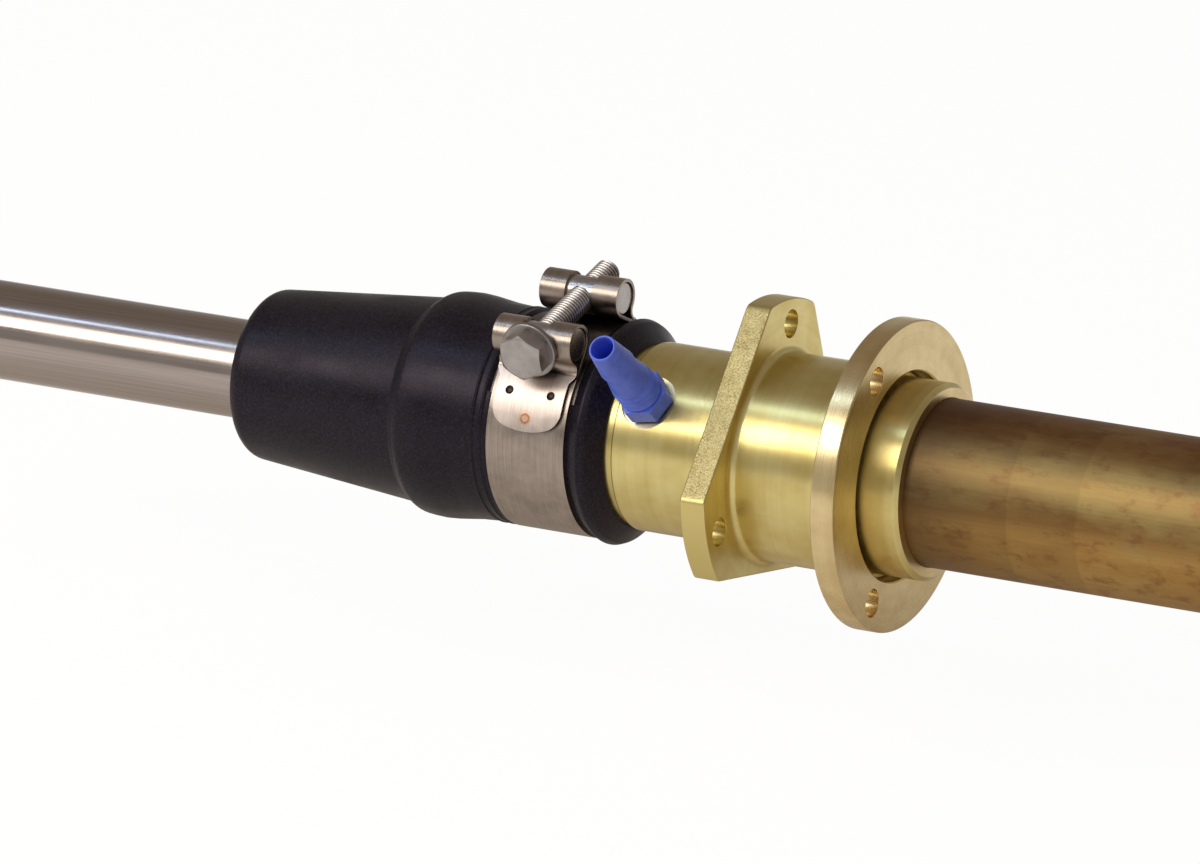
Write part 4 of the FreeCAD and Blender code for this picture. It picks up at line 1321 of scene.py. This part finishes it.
@dataclass
class Casting(Assembly):
    """The brass casting: spigot, body with the water port, three-lobed flange, barrel and collar.

    Places along the axis are from the flange's aft face. Sizes are in mm and degrees.
    """

    spigot_start: float = -92.0
    spigot_radius: float = 27.0
    body_start: float = -41.2
    body_radius: float = 28.25
    flange_thickness: float = 8.0
    lobe_radius: float = 47.1
    flat_distance: float = 34.7
    rim_depth: float = 0.7
    first_lobe: float = 79.0
    bolt_radius: float = 39.4
    hole_radius: float = 4.25
    corner_blend: float = 1.1
    barrel_radius: float = 31.15
    barrel_end: float = 36.0
    collar_radius: float = 29.3
    collar_end: float = 53.5
    socket_radius: float = 25.0
    socket_end: float = 28.0
    bore: float = 22.5
    bore_end: float = -22.0
    throat: float = 20.0
    screw_place: float = 14.0
    screw_angle: float = 20.0
    screw_radius: float = 3.0
    spot_face_radius: float = 8.5
    port_radius: float = 4.85

    def rim(self, angle: float) -> float:
        """Draw the flange's rim: round lobes, flats between them, softly rounded corners.

        Args:
            angle: Polar angle, in degrees.

        Returns:
            Its radius there, in mm.
        """
        flat = self.flat_distance / math.cos(from_nearest(angle, self.first_lobe + 60, 120))
        gap = max(self.corner_blend - abs(flat - self.lobe_radius), 0.0) / self.corner_blend
        return min(flat, self.lobe_radius) - gap * gap * self.corner_blend / 4

    def flange_shape(self, x: float, radius: float, angle: float) -> float:
        """Give the rows of the flange's rim its lobed outline.

        Args:
            x: Place along the axis, in mm; not used.
            radius: The round outline's radius there, in mm.
            angle: Polar angle, in degrees.

        Returns:
            The radius, in mm.
        """
        if radius > self.bolt_radius + 1:
            return self.rim(angle) - (self.lobe_radius - radius)
        return radius

    def build(self) -> None:
        """Turn the casting, lobe its flange and drill its holes."""
        forward = -self.flange_thickness
        outline = rounded([
            Corner(self.spigot_start, self.throat, 0.3), Corner(self.spigot_start, self.spigot_radius - 1, 0.2),
            Corner(self.spigot_start + 1, self.spigot_radius, 0.2), Corner(self.body_start, self.spigot_radius, 0.3),
            Corner(self.body_start, self.body_radius, 0.7), Corner(forward, self.body_radius, 3.0),
            Corner(forward, self.lobe_radius, 0.5), Corner(0.0, self.lobe_radius, 0.5),
            Corner(0.0, self.barrel_radius, 2.2), Corner(self.barrel_end - 0.5, self.barrel_radius, 0.2),
            Corner(self.barrel_end, self.barrel_radius - 0.5, 0.2), Corner(self.barrel_end, self.collar_radius, 0.3),
            Corner(self.collar_end - 1.3, self.collar_radius, 0.2),
            Corner(self.collar_end, self.collar_radius - 1.3, 0.2), Corner(self.collar_end, self.socket_radius, 0.2),
            Corner(self.socket_end, self.socket_radius), Corner(self.socket_end, self.bore),
            Corner(self.bore_end, self.bore), Corner(self.bore_end, self.throat)], 15.0)
        turn = math.degrees(math.acos(self.flat_distance / self.lobe_radius))
        corners = [self.first_lobe + 60 + 120 * flat + side * turn for flat in range(3) for side in (-1, 1)]
        extra = [corner + 0.4 * number for corner in corners for number in range(-6, 7)]
        piece = lathe("casting_turned", outline, even_angles(180, extra), self.flange_shape)
        # The spot face's brass is painted paler than the turned brass, a painted highlight.
        finishes = (TurnedBrass("brass_casting_turned"), CastBrass(),
                    TurnedBrass("brass_spot_face_painted_highlight", "#e6d9ae", "#f2e8c6", 0.42, 0.0),
                    TurnedBrass("brass_collar_faced", "#d3ba86", "#e6d09e", 0.3))
        for finish in finishes:
            piece.data.materials.append(finish.material())
        # The rim between the flange's faces is cast, and the collar's end is faced.
        for face in piece.data.polygons:
            x, radius = face.center.x / MM, face.center.yz.length / MM
            if forward + 0.3 < x < -0.3 and radius > self.flat_distance - self.rim_depth:
                face.material_index = CastingFace.CAST
            elif x > self.collar_end - 0.1:
                face.material_index = CastingFace.COLLAR
        spot, outward = polar(NIPPLE_PLACE, SPOT_FACE_HEIGHT, NIPPLE_ANGLE), polar(0, 1, NIPPLE_ANGLE)
        spot_face = rod("spot_face", self.spot_face_radius, spot, outward, 12.0)
        for face in spot_face.data.polygons:
            face.material_index = CastingFace.SPOT_FACED
        holes = three_holes("bolt_hole", forward, self.flange_thickness, self.hole_radius, self.bolt_radius,
                            self.first_lobe)
        screw = polar(self.screw_place, self.throat + 0.4, self.screw_angle)
        holes.append(rod("screw_hole", self.screw_radius, screw, polar(0, 1, self.screw_angle), 14.0))
        holes.append(spot_face)
        port = polar(NIPPLE_PLACE, self.throat - 5, NIPPLE_ANGLE)
        holes.append(rod("water_port", self.port_radius, port, outward, 16.0))
        combine(piece, holes)
        self.hand_over(baked(piece), "stern_casting", "cast_brass")


@dataclass
class LooseRing(Assembly):
    """The loose backing ring on the casting's barrel."""

    bore: float = 31.2
    radius: float = 46.3
    forward: float = 34.0
    thickness: float = 7.5
    bolt_radius: float = 38.75
    hole_radius: float = 4.25
    first_hole: float = 118.5

    def build(self) -> None:
        """Turn and drill the ring."""
        aft = self.forward + self.thickness
        outline = rounded([
            Corner(self.forward, self.bore, 0.2), Corner(self.forward, self.radius, 0.6),
            Corner(aft, self.radius, 0.6), Corner(aft, self.bore + 0.5, 0.15),
            Corner(aft - 0.5, self.bore, 0.15)], 15.0)
        piece = lathe("ring_turned", outline, even_angles(360))
        combine(piece, three_holes("ring_hole", self.forward, self.thickness, self.hole_radius, self.bolt_radius,
                                   self.first_hole))
        brass = TurnedBrass("brass_ring_faced", "#d3ba86", "#e6d09e", 0.28).material()
        self.hand_over(baked(piece), "ring_flange", "ring_brass", brass, Body.RING)


@dataclass
class SternTube(Assembly):
    """The drawn tube in the casting's collar, with the holes of its bearing's screws."""

    start: float = 28.0
    end: float = 165.0
    radius: float = 25.0
    bore: float = 22.5
    screw_place: float = 152.0
    screw_radius: float = 2.5

    def build(self) -> None:
        """Turn the tube and drill it for the screws."""
        outline = rounded([
            Corner(self.start, self.bore), Corner(self.start, self.radius), Corner(self.end, self.radius, 0.6),
            Corner(self.end, self.bore, 0.2)])
        piece = lathe("tube_drawn", outline, even_angles(144))
        inside = self.bore - 2.1
        combine(piece, [rod(f"tube_screw_hole_{angle}", self.screw_radius, polar(self.screw_place, inside, angle),
                            polar(0, 1, angle), 8.0) for angle in (90, 270)])
        self.hand_over(baked(piece), "stern_tube", "tube_brass", TarnishedTube().material())


@dataclass
class WaterNipple(Assembly):
    """The blue hose nipple on its sealing washer.

    Places along it are from the casting's spot face, in mm.

    Attributes:
        barbs: Each barb's foot, its radius there, its tip, and its radius there.
    """

    stub_length: float = 6.4
    stub_radius: float = 4.85
    stub_bore: float = 3.0
    washer_radius: float = 6.6
    washer_thickness: float = 1.0
    hex_flats: float = 13.5
    hex_top: float = 7.5
    bore: float = 3.5
    ribs: int = 3
    rib_pitch: float = 2.8
    rib_radius: float = 6.75
    root_radius: float = 5.7
    barbs: tuple[tuple[float, ...], ...] = ((16.5, 6.3, 25.5, 4.9), (26.3, 5.6, 38.05, 4.2))
    end: float = 38.5
    end_radius: float = 3.9

    def placement(self) -> Matrix:
        """Return the placement of a form turned about X, with the spot face at x = 0."""
        return pointing(polar(NIPPLE_PLACE, SPOT_FACE_HEIGHT, NIPPLE_ANGLE), polar(0, 1, NIPPLE_ANGLE))

    def hexagon(self, x: float, radius: float, angle: float) -> float:
        """Give the rows of the spanner hexagon their six flats.

        Args:
            x: Place along the nipple, in mm.
            radius: The round outline's radius there, in mm.
            angle: Polar angle, in degrees.

        Returns:
            The radius, in mm.
        """
        if self.washer_thickness / 2 < x < self.hex_top + 0.1 and radius > self.root_radius + 0.2:
            flat = self.hex_flats / 2 / math.cos(from_nearest(angle, 60, 60))
            return flat - (hex_corner(self.hex_flats) - radius)
        return radius

    def outline(self) -> list[Corner]:
        """Lay out the nipple.

        Returns:
            Its outline, from the threaded stub to the tip and back down the bore.
        """
        foot, corner = self.washer_thickness, hex_corner(self.hex_flats)
        corners = [Corner(-self.stub_length, self.stub_bore), Corner(-self.stub_length, self.stub_radius, 0.4),
                   Corner(foot, self.stub_radius), Corner(foot, corner, 0.35), Corner(self.hex_top, corner, 0.45),
                   Corner(self.hex_top, self.root_radius, 0.2)]
        for rib in range(self.ribs):
            start = self.hex_top + self.rib_pitch * rib
            corners += [Corner(start + self.rib_pitch * 0.4, self.rib_radius, 0.5),
                        Corner(start + self.rib_pitch, self.root_radius, 0.3)]
        for start, crest, tip, neck in self.barbs:
            corners += [Corner(start, crest, 0.25), Corner(tip, neck, 0.2)]
        return corners + [Corner(self.end, self.end_radius, 0.1), Corner(self.end, self.bore, 0.15),
                          Corner(foot, self.bore), Corner(foot, self.stub_bore)]

    def build(self) -> None:
        """Turn the nipple with its hexagon and ribs, and the washer under it."""
        extra = [30 + 60 * flat + offset for flat in range(6) for offset in (-1.5, 1.5)]
        piece = baked(lathe("nipple_moulded", rounded(self.outline(), 20.0), even_angles(96, extra), self.hexagon,
                            self.placement()))
        self.hand_over(piece, "hose_nipple", "blue_plastic", MouldedPlastic().material())
        outline = rounded([
            Corner(0, self.stub_radius), Corner(0, self.washer_radius, 0.2),
            Corner(self.washer_thickness, self.washer_radius, 0.2), Corner(self.washer_thickness, self.stub_radius)])
        washer = baked(lathe("nipple_washer_disc", outline, even_angles(64), placement=self.placement()))
        rubber = MouldedRubber("rubber_sealing_washer", "#17161a", "#242127", 0.45).material()
        self.hand_over(washer, "nipple_seal_washer", "seal_washer", rubber)


@dataclass
class Bearings(Assembly):
    """The hidden water-lubricated bearings and their set screws, which keep their solids."""

    def build(self) -> None:
        """Dress the bearings' solids, which stay as they are."""
        brass = TurnedBrass("brass_bearing_shell", "#bda25f", "#d3be80", 0.3).material()
        rubber = MouldedRubber("rubber_bearing_liner", "#161515", "#252223", 0.45).material()
        steel = MachinedSteel("stainless_set_screw", "#827f7c", "#aaa6a2", 0.26).material()
        finishes = {"inner_bearing_shell": brass, "outer_bearing_shell": brass, "inner_bearing_liner": rubber,
                    "outer_bearing_liner": rubber, "inner_bearing_set_screw": steel,
                    "outer_bearing_set_screws": steel}
        for node, material in finishes.items():
            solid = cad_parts[node]
            for place in solid.material_slots:
                place.material = material
            self.finished.append(node)
            LOG.info("%s: kept solid, %s", node, material.name)


@dataclass
class Studio:
    """The pale floor, the lamps, the surroundings that polished metal mirrors, and the camera.

    Attributes:
        azimuth: The camera's turn about Z from the object's side, in degrees.
        elevation: Its height above the horizon, in degrees.
        distance: How far it stands, in metres.
        focal: Its lens, in mm.
        target_x: Place on the shaft's axis that it looks at, in mm.
        target_drop: How far below that place it looks, in mm.
        floor_height: The floor's height, in mm.
        floor_size: The floor's side, in metres.
        lamp_distance: The lamps' distance from the shaft's axis, in metres.
        lamp_drift: Their place along X, in metres.
        dim_before: How a painted shadow dims the mirrored floor on the camera's side: from and to a place along Y,
            in metres, and from and to a share.
        dim_behind: How that painted shadow fades again behind the object.
        white_share: Share of plain white in the floor that the camera sees.
        white_strength: Strength of that white.
        tones: The surroundings' colours from behind the camera to behind the object.
    """

    azimuth: float = 28.5
    elevation: float = 17.5
    distance: float = 3.0
    focal: float = 303.4
    target_x: float = -59.8
    target_drop: float = 1.48
    floor_height: float = -75.0
    floor_size: float = 9.0
    lamp_distance: float = 1.2
    lamp_drift: float = -0.67
    dim_before: tuple[float, ...] = (-0.14, -0.005, 0.6, 0.1)
    dim_behind: tuple[float, ...] = (0.03, 0.3, 0.1, 0.7)
    white_share: float = 0.92
    white_strength: float = 1.04
    tones: tuple[tuple[float, str], ...] = (
        (0.0, "#b3b0ad"), (0.35, "#a5a3a2"), (0.5, "#958b83"), (0.68, "#90867d"), (0.85, "#92887f"),
        (0.97, "#aaa7a4"))

    def towards_camera(self) -> Vector:
        """Return the direction from the object to the camera."""
        side, lift = math.radians(self.azimuth), math.radians(self.elevation)
        return Vector((math.cos(lift) * math.sin(side), -math.cos(lift) * math.cos(side), math.sin(lift)))

    def camera(self) -> None:
        """Set up the camera at the photograph's angle."""
        data = bpy.data.cameras.new("studio_camera")
        data.lens, data.sensor_width, data.clip_end = self.focal, 36.0, 60.0
        camera = placed("studio_camera", data)
        turn = (-self.towards_camera()).to_track_quat("-Z", "Y")
        up = turn @ Vector((0, 1, 0))
        target = Vector((self.target_x, 0, 0)) * MM - up * self.target_drop * MM
        camera.location = target + self.towards_camera() * self.distance
        camera.rotation_euler = turn.to_euler()
        bpy.context.scene.camera = camera

    def lamp(self, name: str, elevation: float, size: tuple[float, float], watts: float, colour: str) -> None:
        """Hang a rectangular lamp on the camera's side of the object, facing it.

        Args:
            name: The lamp's name.
            elevation: Its angle above the horizon, in degrees.
            size: Its length along X and its width, in metres.
            watts: Its power.
            colour: Its colour.
        """
        data = bpy.data.lights.new(name, "AREA")
        data.shape, (data.size, data.size_y) = "RECTANGLE", size
        data.energy, data.color = watts, linear(colour)[:3]
        lamp = placed(name, data)
        lamp.location = polar(self.lamp_drift, self.lamp_distance, 180.0 - elevation)
        lamp.rotation_euler = polar(0, 1, 180.0 - elevation).to_track_quat("Z", "Y").to_euler()

    def floor(self) -> None:
        """Lay a plain pale floor that keeps the object's shadow and shows white, with a painted shadow where metal
        mirrors it.
        """
        shape = bmesh.new()
        bmesh.ops.create_grid(shape, x_segments=4, y_segments=4, size=self.floor_size / MM / 2)
        floor = finished_shape("studio_floor", shape, Matrix.Translation((0, 0, self.floor_height)))
        surface = Surface("studio_floor_painted")
        surface.set("#f0e6d8", 0.9)
        add = surface.add
        rays = add("ShaderNodeLightPath").outputs
        # Painted shadow: mirrored in the metal, the floor dims towards the line under the object, as it would in its
        # shadow.
        mirrored = add("ShaderNodeMath", rays["Is Glossy Ray"], rays["Is Transmission Ray"], operation="MAXIMUM")
        painted_floor_shadow = add("ShaderNodeMath", add("ShaderNodeMapRange", surface.aside, *self.dim_before),
                   add("ShaderNodeMapRange", surface.aside, *self.dim_behind), operation="MAXIMUM")
        mirrored = add("ShaderNodeMath", mirrored, painted_floor_shadow, operation="MULTIPLY")
        share = add("ShaderNodeMath", rays["Is Camera Ray"], self.white_share, mirrored, operation="MULTIPLY_ADD")
        white = add("ShaderNodeEmission", "#ffffff", self.white_strength)
        connect(surface.output, {"Surface": add("ShaderNodeMixShader", share, surface.shader, white)})
        floor.data.materials.append(surface.material)

    def surroundings(self) -> None:
        """Shade the surroundings: paler behind the camera and behind the object, darker overhead and aside."""
        world = bpy.data.worlds.new("studio_surroundings")
        bpy.context.scene.world = world
        world.use_nodes = True
        world.node_tree.nodes.clear()
        add = partial(add_node, world.node_tree)
        ray = add("ShaderNodeSeparateXYZ", add("ShaderNodeTexCoord").outputs["Generated"])
        level = add("ShaderNodeMapRange", ray.outputs["Y"], -1.0, 1.0, 0.0, 1.0)
        tone = add("ShaderNodeValToRGB", level, stops=self.tones)
        add("ShaderNodeOutputWorld", named={"Surface": add("ShaderNodeBackground", tone, 1.0)})

    def build(self) -> None:
        """Put up the studio."""
        self.camera()
        self.floor()
        self.surroundings()
        self.lamp("key_strip", 40.0, (1.3, 0.48), 8.4, "#fffaf4")
        self.lamp("overhead_strip", 68.0, (1.3, 0.08), 2.2, "#bcd8ff")
        bpy.context.scene.view_settings.view_transform = "Standard"
        LOG.info("studio ready")


def main() -> None:
    """Build the stern gland and its studio."""
    logging.basicConfig(level=logging.INFO, format="%(name)s: %(message)s")
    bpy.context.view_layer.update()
    Studio().build()
    for assembly in (Shaft(), SealBoot(), Clamp(), Casting(), LooseRing(), SternTube(), WaterNipple(), Bearings()):
        assembly.build()
        LOG.info("%s done: %s", type(assembly).__name__, ", ".join(assembly.finished))
    bpy.context.view_layer.update()


if __name__ == "__main__":
    main()
